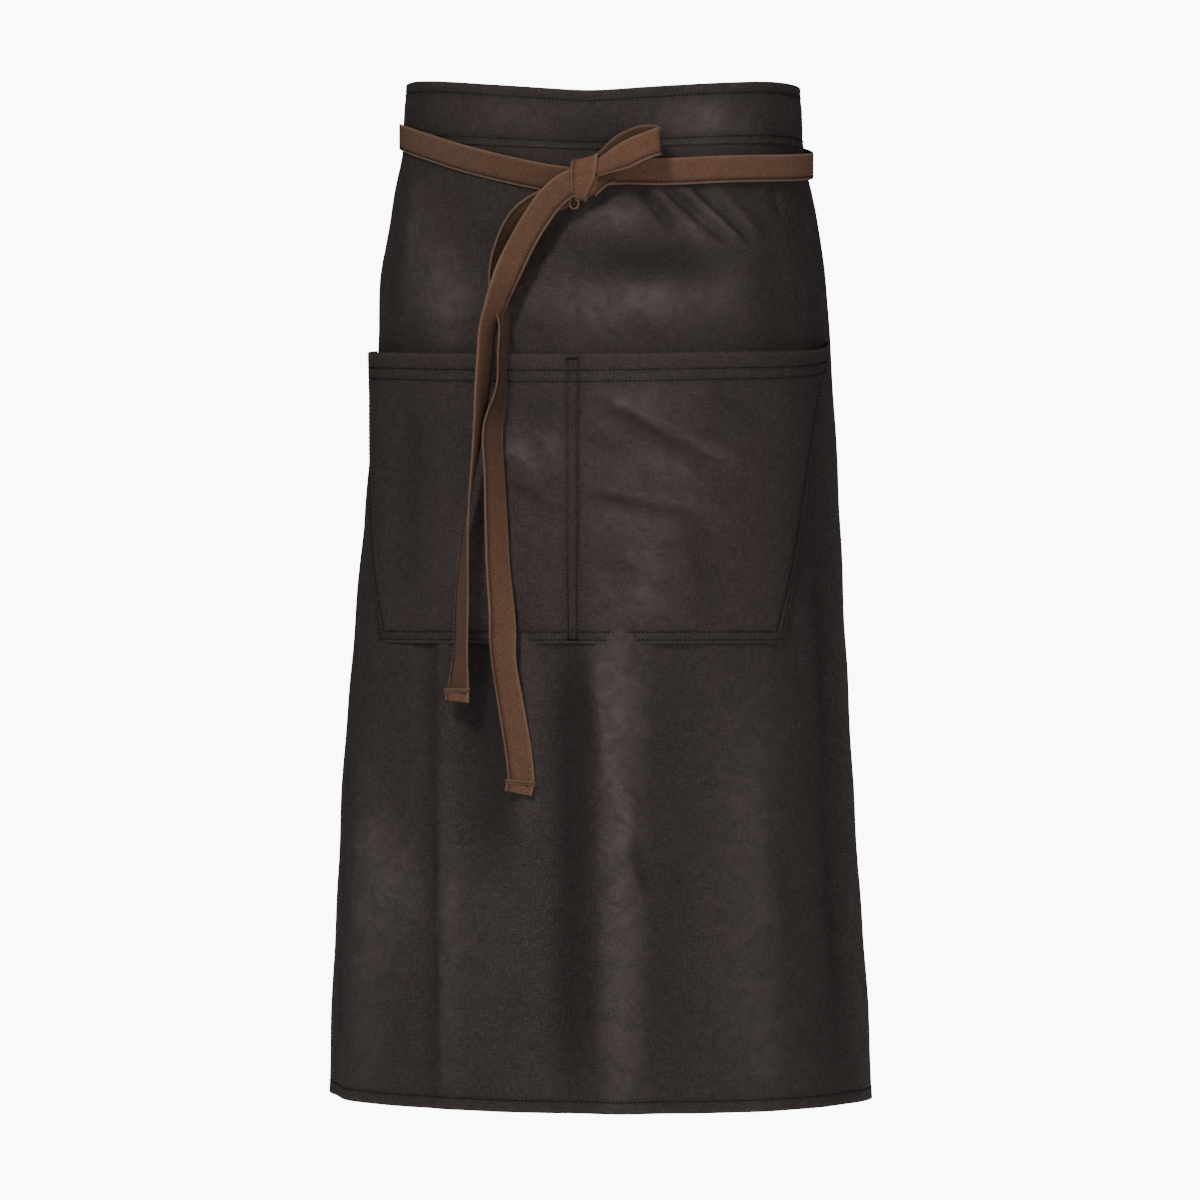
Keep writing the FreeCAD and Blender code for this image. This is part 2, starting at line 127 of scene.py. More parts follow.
rightSwingTable = evenTable(wornShape["swingHeights"], wornShape["rightSwing"], heightTable, 0.015)

# arc length of every cross-section, and from it the turn that a length of cloth reaches
turnTable = np.linspace(0, math.pi, 721)
middles = (turnTable[1:] + turnTable[:-1]) / 2
speeds = np.hypot(widthTable[:, None] * np.cos(middles), depthTable[:, None] * np.sin(middles)) * (turnTable[1])
arcTable = np.concatenate([np.zeros((len(heightTable), 1)), np.cumsum(speeds, axis=1)], axis=1)
lengthTable = np.arange(0, 0.4701, lengthStep)
reachedTable = np.array([np.interp(lengthTable, row, turnTable) for row in arcTable])


# lookUp: the value between the four nearest entries of a table
def lookUp(table, rowPlace, columnPlace):
    rowPlace = np.clip(rowPlace, 0, table.shape[0] - 1.001)
    columnPlace = np.clip(columnPlace, 0, table.shape[1] - 1.001)
    r, c = rowPlace.astype(int), columnPlace.astype(int)
    fr, fc = rowPlace - r, columnPlace - c
    return ((table[r, c] * (1 - fc) + table[r, c + 1] * fc) * (1 - fr)
            + (table[r + 1, c] * (1 - fc) + table[r + 1, c + 1] * fc) * fr)


# turnAt: how far round the body a length of cloth s from the middle of the front lies at height z
def turnAt(s, z):
    s, z = np.broadcast_arrays(np.asarray(s, float), np.asarray(z, float))
    return np.sign(s) * lookUp(reachedTable, (z - heightTable[0]) / heightStep, np.abs(s) / lengthStep)


# onTurn: (wide sin t - swing sin^2 t, -deep cos t, z - droop), an oval grown outwards by `out`
def onTurn(turn, z, out):
    turn, z, out = np.broadcast_arrays(np.asarray(turn, float), np.asarray(z, float), np.asarray(out, float))
    swing = np.where(np.sin(turn) < 0, np.interp(z, heightTable, leftSwingTable),
                     np.interp(z, heightTable, rightSwingTable)) * np.sin(turn) ** 2
    x = (np.interp(z, heightTable, widthTable) + out) * np.sin(turn) - swing
    y = -(np.interp(z, heightTable, depthTable) + out) * np.cos(turn)
    sides = np.where(x < 0, wornShape["droopShares"][0], wornShape["droopShares"][-1]) * ease(y, 0.09, 0.0)
    droop = wornShape["droop"] * np.where(y < 0, np.interp(x, acrossTable, droopTable), sides)
    return np.stack([x, y, z - droop * ease(z, wornShape["droopFrom"], wornShape["droopFull"])], axis=-1)


def onBody(s, z, out):
    return onTurn(turnAt(s, z), z, out)


# creases: each is a bell across a straight line from (s0, z0) to (s1, z1), eased out past its ends
def creases(s, z, lines):
    total = np.zeros(np.broadcast(s, z).shape)
    for s0, z0, s1, z1, wide, high in lines:
        span = math.hypot(s1 - s0, z1 - z0)
        ds, dz = (s1 - s0) / span, (z1 - z0) / span
        along = ((s - s0) * ds + (z - z0) * dz) / span
        across = (s - s0) * dz - (z - z0) * ds
        total = total + high * bell(across, wide) * ease(along, -0.25, 0.2) * ease(along, 1.25, 0.8)
    return total


# painted highlights (above 0) and painted shade (below 0) on the cloth, which also make it glossier (above 0)
# or rougher (below 0):
# length from the middle, height, half size across, half size up, strength
polishPlaces = [
    (0.03, -0.052, 0.026, 0.014, 0.8), (0.062, -0.088, 0.06, 0.016, -0.65), (0.1, -0.06, 0.022, 0.02, 0.75),
    (0.128, -0.095, 0.02, 0.022, 0.3), (0.07, -0.118, 0.062, 0.018, 0.85), (0.02, -0.128, 0.03, 0.016, 0.45),
    (-0.03, -0.112, 0.03, 0.02, 0.25), (-0.16, -0.06, 0.02, 0.04, 0.6), (-0.118, -0.11, 0.026, 0.04, 0.65),
    (-0.06, -0.07, 0.036, 0.028, -0.55), (-0.15, -0.14, 0.02, 0.02, -0.35), (0.1, 0.036, 0.022, 0.018, 1.00),
    (0.07, 0.04, 0.022, 0.012, 0.35), (0.135, 0.03, 0.018, 0.018, 0.4), (-0.06, 0.042, 0.03, 0.012, 0.3),
    (0.015, 0.028, 0.03, 0.016, -0.55), (-0.13, 0.02, 0.03, 0.02, -0.45), (-0.165, 0.04, 0.02, 0.03, -0.45),
    (0.175, 0.02, 0.022, 0.04, -0.6), (0.045, -0.205, 0.04, 0.018, 0.55), (0.07, -0.252, 0.056, 0.018, 0.65),
    (0.056, -0.292, 0.05, 0.015, 0.5), (0.05, -0.345, 0.04, 0.03, 0.3), (0.12, -0.23, 0.03, 0.05, -0.25),
    (-0.03, -0.24, 0.022, 0.018, 0.75), (-0.02, -0.21, 0.018, 0.014, -0.55), (-0.11, -0.24, 0.04, 0.07, -0.3),
    (-0.07, -0.33, 0.03, 0.04, 0.2), (0.03, -0.45, 0.03, 0.08, 0.3), (-0.165, -0.61, 0.045, 0.05, 0.45),
    (0.000, -0.5, 0.014, 0.11, -0.4), (-0.1, -0.45, 0.04, 0.06, -0.25), (-0.08, -0.62, 0.04, 0.08, 0.15),
    (0.09, -0.6, 0.06, 0.12, 0.12), (-0.185, -0.45, 0.03, 0.06, -0.5), (-0.205, -0.24, 0.026, 0.1, -0.6),
    (0.205, -0.16, 0.032, 0.14, -0.6), (0.2, -0.33, 0.03, 0.07, -0.45), (0.215, -0.6, 0.04, 0.18, -0.35),
    (-0.225, -0.62, 0.03, 0.15, -0.55), (-0.178, -0.075, 0.016, 0.06, -0.75),
    (-0.08, -0.015, 0.04, 0.02, -0.3), (0.16, -0.12, 0.02, 0.08, -0.35),
]


# the sum of oval bells, one at each place of painted highlight and of painted shade
def polishAt(s, z):
    total = np.zeros(np.broadcast(s, z).shape)
    for s0, z0, wideS, wideZ, strength in polishPlaces:
        total = total + strength * np.exp(-((s - s0) / wideS) ** 2 - ((z - z0) / wideZ) ** 2)
    return np.clip(total, -1, 1)


# painted highlights along the crease ridges and painted shade along the crease valleys, in proportion to the
# crease height, on top of the listed places of painted light
def creasePaintedLight(s, z, lines):
    return np.clip(polishAt(s, z) + 170.0 * creases(s, z, lines), -1, 1)


# gridFaces: quads of a rows x columns grid, counted so that rows x columns points outwards
def gridFaces(rows, columns, roundRows=False):
    r = np.arange(rows if roundRows else rows - 1)[:, None]
    c = np.arange(columns - 1)[None, :]
    nextRow = (r + 1) % rows
    return np.stack([r * columns + c, nextRow * columns + c, nextRow * columns + c + 1, r * columns + c + 1],
                    axis=-1).reshape(-1, 4)


def makePiece(name, points, quads, uv, material, triangles=None, **marks):
    points, uv = np.asarray(points, float).reshape(-1, 3), np.asarray(uv, float).reshape(-1, 2)
    faces = quads.tolist() + ([] if triangles is None else triangles.tolist())
    corners = quads.ravel() if triangles is None else np.concatenate([quads.ravel(), triangles.ravel()])
    mesh = bpy.data.meshes.new(name)
    mesh.from_pydata(points, [], faces)
    mesh.uv_layers.new(name="clothMap").data.foreach_set("uv", uv[corners].ravel().astype(np.float32))
    for mark, values in marks.items():
        layer = mesh.attributes.new(mark, "FLOAT", "POINT")
        layer.data.foreach_set("value", np.ravel(values).astype(np.float32))
    mesh.polygons.foreach_set("use_smooth", np.ones(len(faces), bool))
    mesh.materials.append(material)
    mesh.update()
    piece = bpy.data.objects.new(name, mesh)
    bpy.context.scene.collection.objects.link(piece)
    return piece


# makeCloth: an outer and an inner grid with the same cells, joined all round by a narrow rim
def makeCloth(name, outer, inner, uv, material, **marks):
    rows, columns = outer.shape[:2]
    count = rows * columns
    front = gridFaces(rows, columns)
    border = np.concatenate([np.arange(rows) * columns, (rows - 1) * columns + np.arange(1, columns),
                             np.arange(rows - 2, -1, -1) * columns + columns - 1,
                             np.arange(columns - 2, 0, -1)])
    after = np.roll(border, -1)
    rim = np.stack([after, border, border + count, after + count], axis=-1)
    quads = np.concatenate([front, front[:, ::-1] + count, rim])
    doubled = {mark: np.concatenate([values.ravel(), values.ravel()]) for mark, values in marks.items()}
    return makePiece(name, np.concatenate([outer.reshape(-1, 3), inner.reshape(-1, 3)]), quads,
                     np.concatenate([uv.reshape(-1, 2)] * 2), material, **doubled)


# strapProfile: a flat rounded bar, its faces swollen along both rims and pinched along the sewn row
def strapProfile(strap):
    half, thick = strap["width"] / 2, strap["thick"] / 2
    share = np.sin(np.linspace(-math.pi / 2, math.pi / 2, strap["points"]))
    share = np.sign(share) * np.abs(share) ** 0.9
    across = share * half
    through = thick * (1 - np.abs(share) ** 9) ** 0.5
    rims = bell(np.abs(across) - half + 0.0014, 0.0011)
    pinch = bell(across - strap["sewnSide"] * (half - strap["sewnInset"]), 0.0011)
    through = through * (1 + strap["rimSwell"] * rims - 0.45 * pinch)
    return across, through, np.clip(bell(np.abs(across) - half, 0.0016), 0, 1), pinch


# makeStrap: the profile carried along a path; both ends are drawn in to a rounded edge and closed
def makeStrap(name, path, wideWays, strap, material, scale=None, endRound=0.001, curl=0.0, tone=0.0):
    along = unit(np.gradient(path, axis=0))
    wide = unit(wideWays - along * np.sum(wideWays * along, axis=1, keepdims=True))
    out = np.cross(along, wide)
    run = distances(path)
    ring = np.sqrt(np.clip(1 - (1 - np.clip(np.minimum(run, run[-1] - run) / endRound, 0, 1)) ** 2, 0.02, 1))
    across, through, rub, seam = strapProfile(strap)
    scale = np.ones(len(path)) if scale is None else scale
    order = np.concatenate([np.arange(len(across)), np.arange(len(across) - 2, 0, -1)])
    side = np.concatenate([np.ones(len(across)), -np.ones(len(across) - 2)])
    sweep = across[order][None, :] * scale[:, None]
    lift = (side * through[order])[None, :] * ring[:, None]
    bow = curl * (1 - (across[order] / across.max()) ** 2)[None, :] * ring[:, None]
    points = path[:, None, :] + wide[:, None, :] * sweep[..., None] + out[:, None, :] * (lift + bow)[..., None]
    n, m = sweep.shape
    tube = gridFaces(n, m)
    k = np.arange(n - 1)
    closing = np.stack([k * m + m - 1, (k + 1) * m + m - 1, (k + 1) * m, k * m], axis=-1)
    i = np.arange(1, len(across) - 2)
    cap = np.stack([i, i + 1, m - i - 1, m - i], axis=-1)
    tips = np.array([[0, 1, m - 1], [len(across) - 2, len(across) - 1, len(across)]])
    last = (n - 1) * m
    quads = np.concatenate([tube, closing, cap, cap[:, ::-1] + last])
    uv = np.stack([np.broadcast_to(run[:, None], sweep.shape), sweep], axis=-1)
    # tone below 0 darkens the strap's colour towards the painted shade colour, in the same mark as the apron's
    # painted light
    toneAlong = np.broadcast_to(np.asarray(tone, float), n)[:, None]
    marks = {"rub": np.broadcast_to(rub[order][None, :], sweep.shape),
             "seam": np.broadcast_to(seam[order][None, :], sweep.shape),
             "polish": np.broadcast_to(toneAlong, sweep.shape)}
    piece = makePiece(name, points, quads, uv, material, np.concatenate([tips, tips[:, ::-1] + last]), **marks)
    print(f"{name}: {run[-1]:.3f} m long")
    return piece, along, wide, out


# makeStitches: one small bowed capsule at every stitch of a row; the row follows `path` on the `out` side
def makeStitches(name, rows, sewing, material):
    rings, sides = 5, 6
    a = np.linspace(0, math.pi, rings)
    b = np.linspace(0, 2 * math.pi, sides, endpoint=False)
    tx = -np.cos(a)[:, None] * np.ones(sides)[None, :] * sewing["length"] / 2
    swell = np.maximum(np.sin(a), 0.35)[:, None]
    ty = swell * np.cos(b)[None, :] * sewing["radius"]
    tz = swell * np.sin(b)[None, :] * sewing["radius"] + (np.sin(a)[:, None] - 0.35) * sewing["bow"]
    template = np.stack([tx, ty, tz], axis=-1).reshape(-1, 3)
    ring = np.arange(rings - 1)[:, None] * sides
    j = np.arange(sides)[None, :]
    nextJ = (j + 1) % sides
    body = np.stack([ring + j, ring + sides + j, ring + sides + nextJ, ring + nextJ], axis=-1)
    ends = np.array([[0, 1, 2, 3], [0, 3, 4, 5]])
    templateFaces = np.concatenate([body.reshape(-1, 4), ends, (ends + (rings - 1) * sides)[:, ::-1]])
    templateMap = np.stack(np.broadcast_arrays(np.linspace(0, 1, rings)[:, None], j / sides), axis=-1)
    templateMap = templateMap.reshape(-1, 2)
    centres, alongs, outs = [], [], []
    for path, out in rows:
        run = distances(path)
        places = np.arange(sewing["pitch"] / 2, run[-1] - sewing["pitch"] / 2, sewing["pitch"])
        follow = lambda values: np.stack([np.interp(places, run, column) for column in values.T], axis=-1)
        ahead = unit(follow(np.gradient(path, axis=0)))
        outward = follow(out)
        outs.append(unit(outward - ahead * np.sum(outward * ahead, axis=1, keepdims=True)))
        alongs.append(ahead)
        centres.append(follow(path))
    centre, ahead, outward = (np.concatenate(x) for x in (centres, alongs, outs))
    sideways = np.cross(outward, ahead)
    points = (centre[:, None] + template[None, :, :1] * ahead[:, None]
              + template[None, :, 1:2] * sideways[:, None] + template[None, :, 2:] * outward[:, None])
    quads = (templateFaces[None] + (np.arange(len(centre)) * len(template))[:, None, None]).reshape(-1, 4)
    uv = np.broadcast_to(templateMap[None], (len(centre), len(template), 2))
    return makePiece(name, points, quads, uv, material)


def finishPiece(piece, body, slotName, *nodes):
    if nodes:
        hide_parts(*nodes)
    if body:
        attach(piece, body)
    return piece


def place(tree, kind, **settings):
    node = tree.nodes.new(kind)
    for name, value in settings.items():
        setattr(node, name, value)
    return node


def join(tree, source, target):
    if isinstance(source, bpy.types.NodeSocket):
        tree.links.new(source, target)
    else:
        target.default_value = source


def calc(tree, operation, *inputs, clamp=False):
    node = place(tree, "ShaderNodeMath", operation=operation, use_clamp=clamp)
    for source, target in zip(inputs, node.inputs):
        join(tree, source, target)
    return node.outputs[0]


def times(tree, first, second, clamp=False):
    return calc(tree, "MULTIPLY", first, second, clamp=clamp)


def plus(tree, first, second):
    return calc(tree, "ADD", first, second)


def minus(tree, first, second):
    return calc(tree, "SUBTRACT", first, second)


def stretch(tree, vector, amounts):
    node = place(tree, "ShaderNodeVectorMath", operation="MULTIPLY")
    join(tree, vector, node.inputs[0])
    node.inputs[1].default_value = amounts
    return node.outputs[0]


def noise(tree, vector, scale, detail=2.0, rough=0.5, twist=0.0):
    node = place(tree, "ShaderNodeTexNoise")
    join(tree, vector, node.inputs["Vector"])
    for name, value in (("Scale", scale), ("Detail", detail), ("Roughness", rough), ("Distortion", twist)):
        node.inputs[name].default_value = value
    return node.outputs["Fac"]


def spanTo(tree, value, low, high, newLow, newHigh):
    node = place(tree, "ShaderNodeMapRange")
    for source, target in zip((value, low, high, newLow, newHigh), node.inputs):
        join(tree, source, target)
    return node.outputs[0]


def blendColours(tree, amount, first, second):
    node = place(tree, "ShaderNodeMix", data_type="RGBA")
    for source, name in ((amount, 0), (first, 6), (second, 7)):
        join(tree, source, node.inputs[name])
    return node.outputs[2]


def splitPlace(tree, vector):
    node = place(tree, "ShaderNodeSeparateXYZ")
    join(tree, vector, node.inputs[0])
    return node.outputs


def scaled(tree, vector, amount):
    node = place(tree, "ShaderNodeVectorMath", operation="SCALE")
    join(tree, vector, node.inputs[0])
    join(tree, amount, node.inputs["Scale"])
    return node.outputs[0]


def bumped(tree, height, strength, distance, normal=None):
    node = place(tree, "ShaderNodeBump")
    node.inputs["Strength"].default_value = strength
    node.inputs["Distance"].default_value = distance
    join(tree, height, node.inputs["Height"])
    if normal is not None:
        join(tree, normal, node.inputs["Normal"])
    return node.outputs[0]


def newMaterial(name):
    material = bpy.data.materials.new(name)
    material.use_nodes = True
    return material, material.node_tree, material.node_tree.nodes["Principled BSDF"]


def newGroup(name, inputs, outputs):
    tree = bpy.data.node_groups.new(name, "ShaderNodeTree")
    for socketName, kind, value in inputs:
        socket = tree.interface.new_socket(name=socketName, in_out="INPUT", socket_type=kind)
        if value is not None:
            socket.default_value = value
    for socketName, kind in outputs:
        tree.interface.new_socket(name=socketName, in_out="OUTPUT", socket_type=kind)
    return tree, tree.nodes.new("NodeGroupInput").outputs, tree.nodes.new("NodeGroupOutput").inputs


floatKind, vectorKind = "NodeSocketFloat", "NodeSocketVector"
clothPlaceSocket = ("Cloth Place", vectorKind, None)


# linenWeave: plain weave from sin(pi x) sin(pi y), with long uneven yarns from noise pulled out both ways
def buildLinenWeave():
    tree, given, result = newGroup("linenWeave", [clothPlaceSocket, ("Yarns per Metre", floatKind, 1150.0),
                                                  ("Slub Amount", floatKind, 1.0)],
                                   [("Height", floatKind), ("Yarn Shade", floatKind)])
    clothPlace = splitPlace(tree, given["Cloth Place"])
    yarnTurns = (times(tree, clothPlace[axis], given["Yarns per Metre"]) for axis in (0, 1))
    across, down = (calc(tree, "SINE", times(tree, turns, math.pi)) for turns in yarnTurns)
    knit = times(tree, across, down)
    warp = noise(tree, stretch(tree, given["Cloth Place"], (1050, 110, 1)), 1.0, 2.0, 0.6)
    weft = noise(tree, stretch(tree, given["Cloth Place"], (120, 1050, 1)), 1.0, 2.0, 0.6)
    short = noise(tree, stretch(tree, given["Cloth Place"], (620, 620, 1)), 1.0, 3.0, 0.75)
    yarns = plus(tree, calc(tree, "MAXIMUM", warp, weft), times(tree, short, 0.85))
    uneven = times(tree, spanTo(tree, yarns, 0.82, 1.22, 0.0, 1.0), given["Slub Amount"])
    join(tree, plus(tree, times(tree, knit, 0.35), times(tree, uneven, 0.9)), result["Height"])
    join(tree, uneven, result["Yarn Shade"])
    return tree


# twillWeave: slanting ribs from sin(2 pi (x + y)), broken up by yarn noise
def buildTwillWeave():
    tree, given, result = newGroup("twillWeave", [clothPlaceSocket, ("Ribs per Metre", floatKind, 900.0)],
                                   [("Height", floatKind), ("Yarn Shade", floatKind)])
    clothPlace = splitPlace(tree, given["Cloth Place"])
    slant = plus(tree, clothPlace[0], times(tree, clothPlace[1], 0.6))
    rib = calc(tree, "SINE", times(tree, times(tree, slant, given["Ribs per Metre"]), 2 * math.pi))
    yarn = noise(tree, stretch(tree, given["Cloth Place"], (420, 1300, 1)), 1.0, 2.0, 0.6)
    speck = noise(tree, stretch(tree, given["Cloth Place"], (1500, 1500, 1)), 1.0, 3.0, 0.7)
    shade = plus(tree, times(tree, yarn, 0.4), times(tree, speck, 0.6))
    join(tree, plus(tree, times(tree, rib, 0.4), shade), result["Height"])
    join(tree, spanTo(tree, shade, 0.35, 0.65, 0.0, 1.0), result["Yarn Shade"])
    return tree


# waxPatches: broad cloudy places where the wax is rubbed dull or pressed shiny, from two sizes of noise
def buildWaxPatches():
    tree, given, result = newGroup("waxPatches", [clothPlaceSocket, ("Patch Size", floatKind, 0.12)],
                                   [("Patch", floatKind), ("Cloud", floatKind)])
    patchPlace = scaled(tree, given["Cloth Place"], calc(tree, "DIVIDE", 1.0, given["Patch Size"]))
    broad = noise(tree, patchPlace, 1.2, 4.0, 0.6, 0.9)
    small = noise(tree, patchPlace, 4.5, 6.0, 0.68, 0.8)
    join(tree, spanTo(tree, broad, 0.4, 0.62, 0.0, 1.0), result["Patch"])
    join(tree, spanTo(tree, small, 0.38, 0.64, 0.0, 1.0), result["Cloud"])
    return tree


# seamPucker: short ripples along a sewn row, from noise squeezed along the row, times the row's mark
def buildSeamPucker():
    tree, given, result = newGroup("seamPucker", [clothPlaceSocket, ("Row Mark", floatKind, 0.0),
                                                  ("Ripples per Metre", floatKind, 150.0)],
                                   [("Height", floatKind)])
    ripple = noise(tree, scaled(tree, given["Cloth Place"], given["Ripples per Metre"]), 1.0, 1.0, 0.5)
    join(tree, times(tree, minus(tree, ripple, 0.8), given["Row Mark"]), result["Height"])
    return tree


# rubbedEdge: the edge mark broken up by fine noise, so that wear comes and goes
def buildRubbedEdge():
    tree, given, result = newGroup("rubbedEdge", [clothPlaceSocket, ("Edge Mark", floatKind, 0.0)],
                                   [("Wear", floatKind)])
    grain = noise(tree, given["Cloth Place"], 420.0, 3.0, 0.7)
    broad = noise(tree, given["Cloth Place"], 35.0, 2.0, 0.5)
    broken = plus(tree, times(tree, grain, 0.7), times(tree, broad, 0.7))
    join(tree, times(tree, given["Edge Mark"], broken, clamp=True), result["Wear"])
    return tree


groups = {"linen": buildLinenWeave(), "twill": buildTwillWeave(), "wax": buildWaxPatches(),
          "pucker": buildSeamPucker(), "rubbed": buildRubbedEdge()}


def useGroup(tree, key, **inputs):
    node = place(tree, "ShaderNodeGroup", node_tree=groups[key])
    for socket in node.inputs:
        if socket.name in inputs:
            join(tree, inputs[socket.name], socket)
    return node.outputs


# clothMaterial: yarn shade, wax patches, painted highlights and painted shade, sewn rows and rubbed edges mixed
# into one colour, gloss and relief
def clothMaterial(name, look, weave):
    material, tree, shader = newMaterial(name)
    mapped = {"Cloth Place": place(tree, "ShaderNodeUVMap", uv_map="clothMap").outputs[0]}
    seam, rub, polish = (place(tree, "ShaderNodeAttribute", attribute_name=mark).outputs["Fac"]
                         for mark in ("seam", "rub", "polish"))
    yarns = useGroup(tree, weave, **mapped)
    wax = useGroup(tree, "wax", **mapped, **{"Patch Size": look["patchSize"]})
    ripple = useGroup(tree, "pucker", **mapped,
                      **{"Row Mark": seam, "Ripples per Metre": look["ripples"]})["Height"]
    wear = useGroup(tree, "rubbed", **mapped, **{"Edge Mark": rub})["Wear"]
    colour = blendColours(tree, yarns["Yarn Shade"], look["deepColour"], look["raisedColour"])
    colour = blendColours(tree, times(tree, wax["Cloud"], look["cloudShare"]), colour, look["cloudColour"])
    patchy = plus(tree, 0.35, times(tree, wax["Cloud"], 0.65))
    # painted highlight where the painted light mark is above 0, broken up by the wax clouds; painted shade
    # where it is below 0
    paintedHighlight = times(tree, times(tree, polish, patchy), look["polishShare"], clamp=True)
    paintedShade = times(tree, polish, -look["paintedShadeShare"], clamp=True)
    colour = blendColours(tree, paintedHighlight, colour, look["polishColour"])
    colour = blendColours(tree, paintedShade, colour, look["paintedShadeColour"])
    colour = blendColours(tree, times(tree, seam, look["seamShare"]), colour, look["seamColour"])
    colour = blendColours(tree, times(tree, wear, look["wearShare"]), colour, look["wearColour"])
    join(tree, colour, shader.inputs["Base Color"])
    rough = plus(tree, spanTo(tree, wax["Patch"], 0.0, 1.0, look["roughHigh"], look["roughLow"]),
                 times(tree, minus(tree, 0.5, yarns["Yarn Shade"]), look["yarnGloss"]))
    rough = minus(tree, rough, times(tree, polish, look["polishGloss"]))
    join(tree, rough, shader.inputs["Roughness"])
    for socketName, key in (("Sheen Weight", "sheenWeight"), ("Sheen Roughness", "sheenRoughness"),
                            ("Specular IOR Level", "specular"), ("Sheen Tint", "sheenColour")):
        shader.inputs[socketName].default_value = look[key]
    weaveNormal = bumped(tree, yarns["Height"], look["weaveStrength"], look["weaveDepth"])
    crumpled = plus(tree, ripple, times(tree, wax["Cloud"], look["crumple"]))
    join(tree, bumped(tree, crumpled, 1.0, look["rippleDepth"], weaveNormal), shader.inputs["Normal"])
    return material


# threadMaterial: twisted strands from a slanting sine of the stitch's own map, with shade from noise
def threadMaterial(name, dark, light, gloss):
    material, tree, shader = newMaterial(name)
    stitchPlace = splitPlace(tree, place(tree, "ShaderNodeUVMap", uv_map="clothMap").outputs[0])
    spin = plus(tree, times(tree, stitchPlace[0], 4.0), times(tree, stitchPlace[1], 2.0))
    strand = calc(tree, "SINE", times(tree, spin, 2 * math.pi))
    places = place(tree, "ShaderNodeTexCoord").outputs["Object"]
    shade = calc(tree, "ADD", noise(tree, places, 90.0), times(tree, strand, 0.15), clamp=True)
    join(tree, blendColours(tree, shade, dark, light), shader.inputs["Base Color"])
    join(tree, spanTo(tree, shade, 0.0, 1.0, gloss + 0.12, gloss - 0.08), shader.inputs["Roughness"])
    shader.inputs["Specular IOR Level"].default_value = 0.15
    join(tree, bumped(tree, strand, 1.0, 0.0001), shader.inputs["Normal"])
    return material


apronLook = {
    "deepColour": (0.01, 0.0052, 0.004, 1), "raisedColour": (0.047, 0.03, 0.0256, 1),
    "cloudColour": (0.039, 0.025, 0.0215, 1), "cloudShare": 0.32, "patchSize": 0.085,
    "polishColour": (0.1, 0.08, 0.074, 1), "polishShare": 0.7, "polishGloss": 0.12,
    "paintedShadeColour": (0.0066, 0.0036, 0.0026, 1), "paintedShadeShare": 0.85,
    "seamColour": (0.005, 0.003, 0.0024, 1), "seamShare": 0.34,
    "wearColour": (0.068, 0.05, 0.043, 1), "wearShare": 0.42,
    "roughHigh": 0.56, "roughLow": 0.42, "yarnGloss": 0.26, "specular": 0.4,
    "sheenWeight": 0.0, "sheenRoughness": 0.45, "sheenColour": (0.75, 0.7, 0.68, 1),
    "weaveStrength": 1.0, "weaveDepth": 0.00055, "ripples": 150.0, "rippleDepth": 0.0013, "crumple": 0.6,
}
pocketLook = dict(apronLook, deepColour=(0.0118, 0.006, 0.0048, 1), raisedColour=(0.054, 0.0335, 0.0292, 1),
                  patchSize=0.075)
tieLook = {
    "deepColour": (0.046, 0.0185, 0.0092, 1), "raisedColour": (0.225, 0.113, 0.07, 1),
    "cloudColour": (0.088, 0.046, 0.0265, 1), "cloudShare": 0.45, "patchSize": 0.04,
    "polishColour": (0.2, 0.13, 0.09, 1), "polishShare": 0.0, "polishGloss": 0.0,
    "paintedShadeColour": (0.03, 0.015, 0.008, 1), "paintedShadeShare": 0.8,
    "seamColour": (0.014, 0.006, 0.0038, 1), "seamShare": 0.8,
    "wearColour": (0.25, 0.165, 0.115, 1), "wearShare": 0.55,
    "roughHigh": 0.9, "roughLow": 0.8, "yarnGloss": 0.1, "specular": 0.18,
    "sheenWeight": 0.06, "sheenRoughness": 0.5, "sheenColour": (0.95, 0.78, 0.66, 1),
    "weaveStrength": 1.0, "weaveDepth": 0.0004, "ripples": 260.0, "rippleDepth": 0.0009, "crumple": 0.25,
}
apronCloth = clothMaterial("waxedApronCloth", apronLook, "linen")
pocketCloth = clothMaterial("waxedPocketCloth", pocketLook, "linen")
tieCloth = clothMaterial("brownTieTwill", tieLook, "twill")
darkThread = threadMaterial("darkWaxedThread", (0.0016, 0.0012, 0.001, 1), (0.006, 0.0044, 0.0036, 1), 0.7)
tieThread = threadMaterial("brownTieThread", (0.003, 0.0014, 0.0008, 1), (0.012, 0.0056, 0.0034, 1), 0.75)
print("materials made")


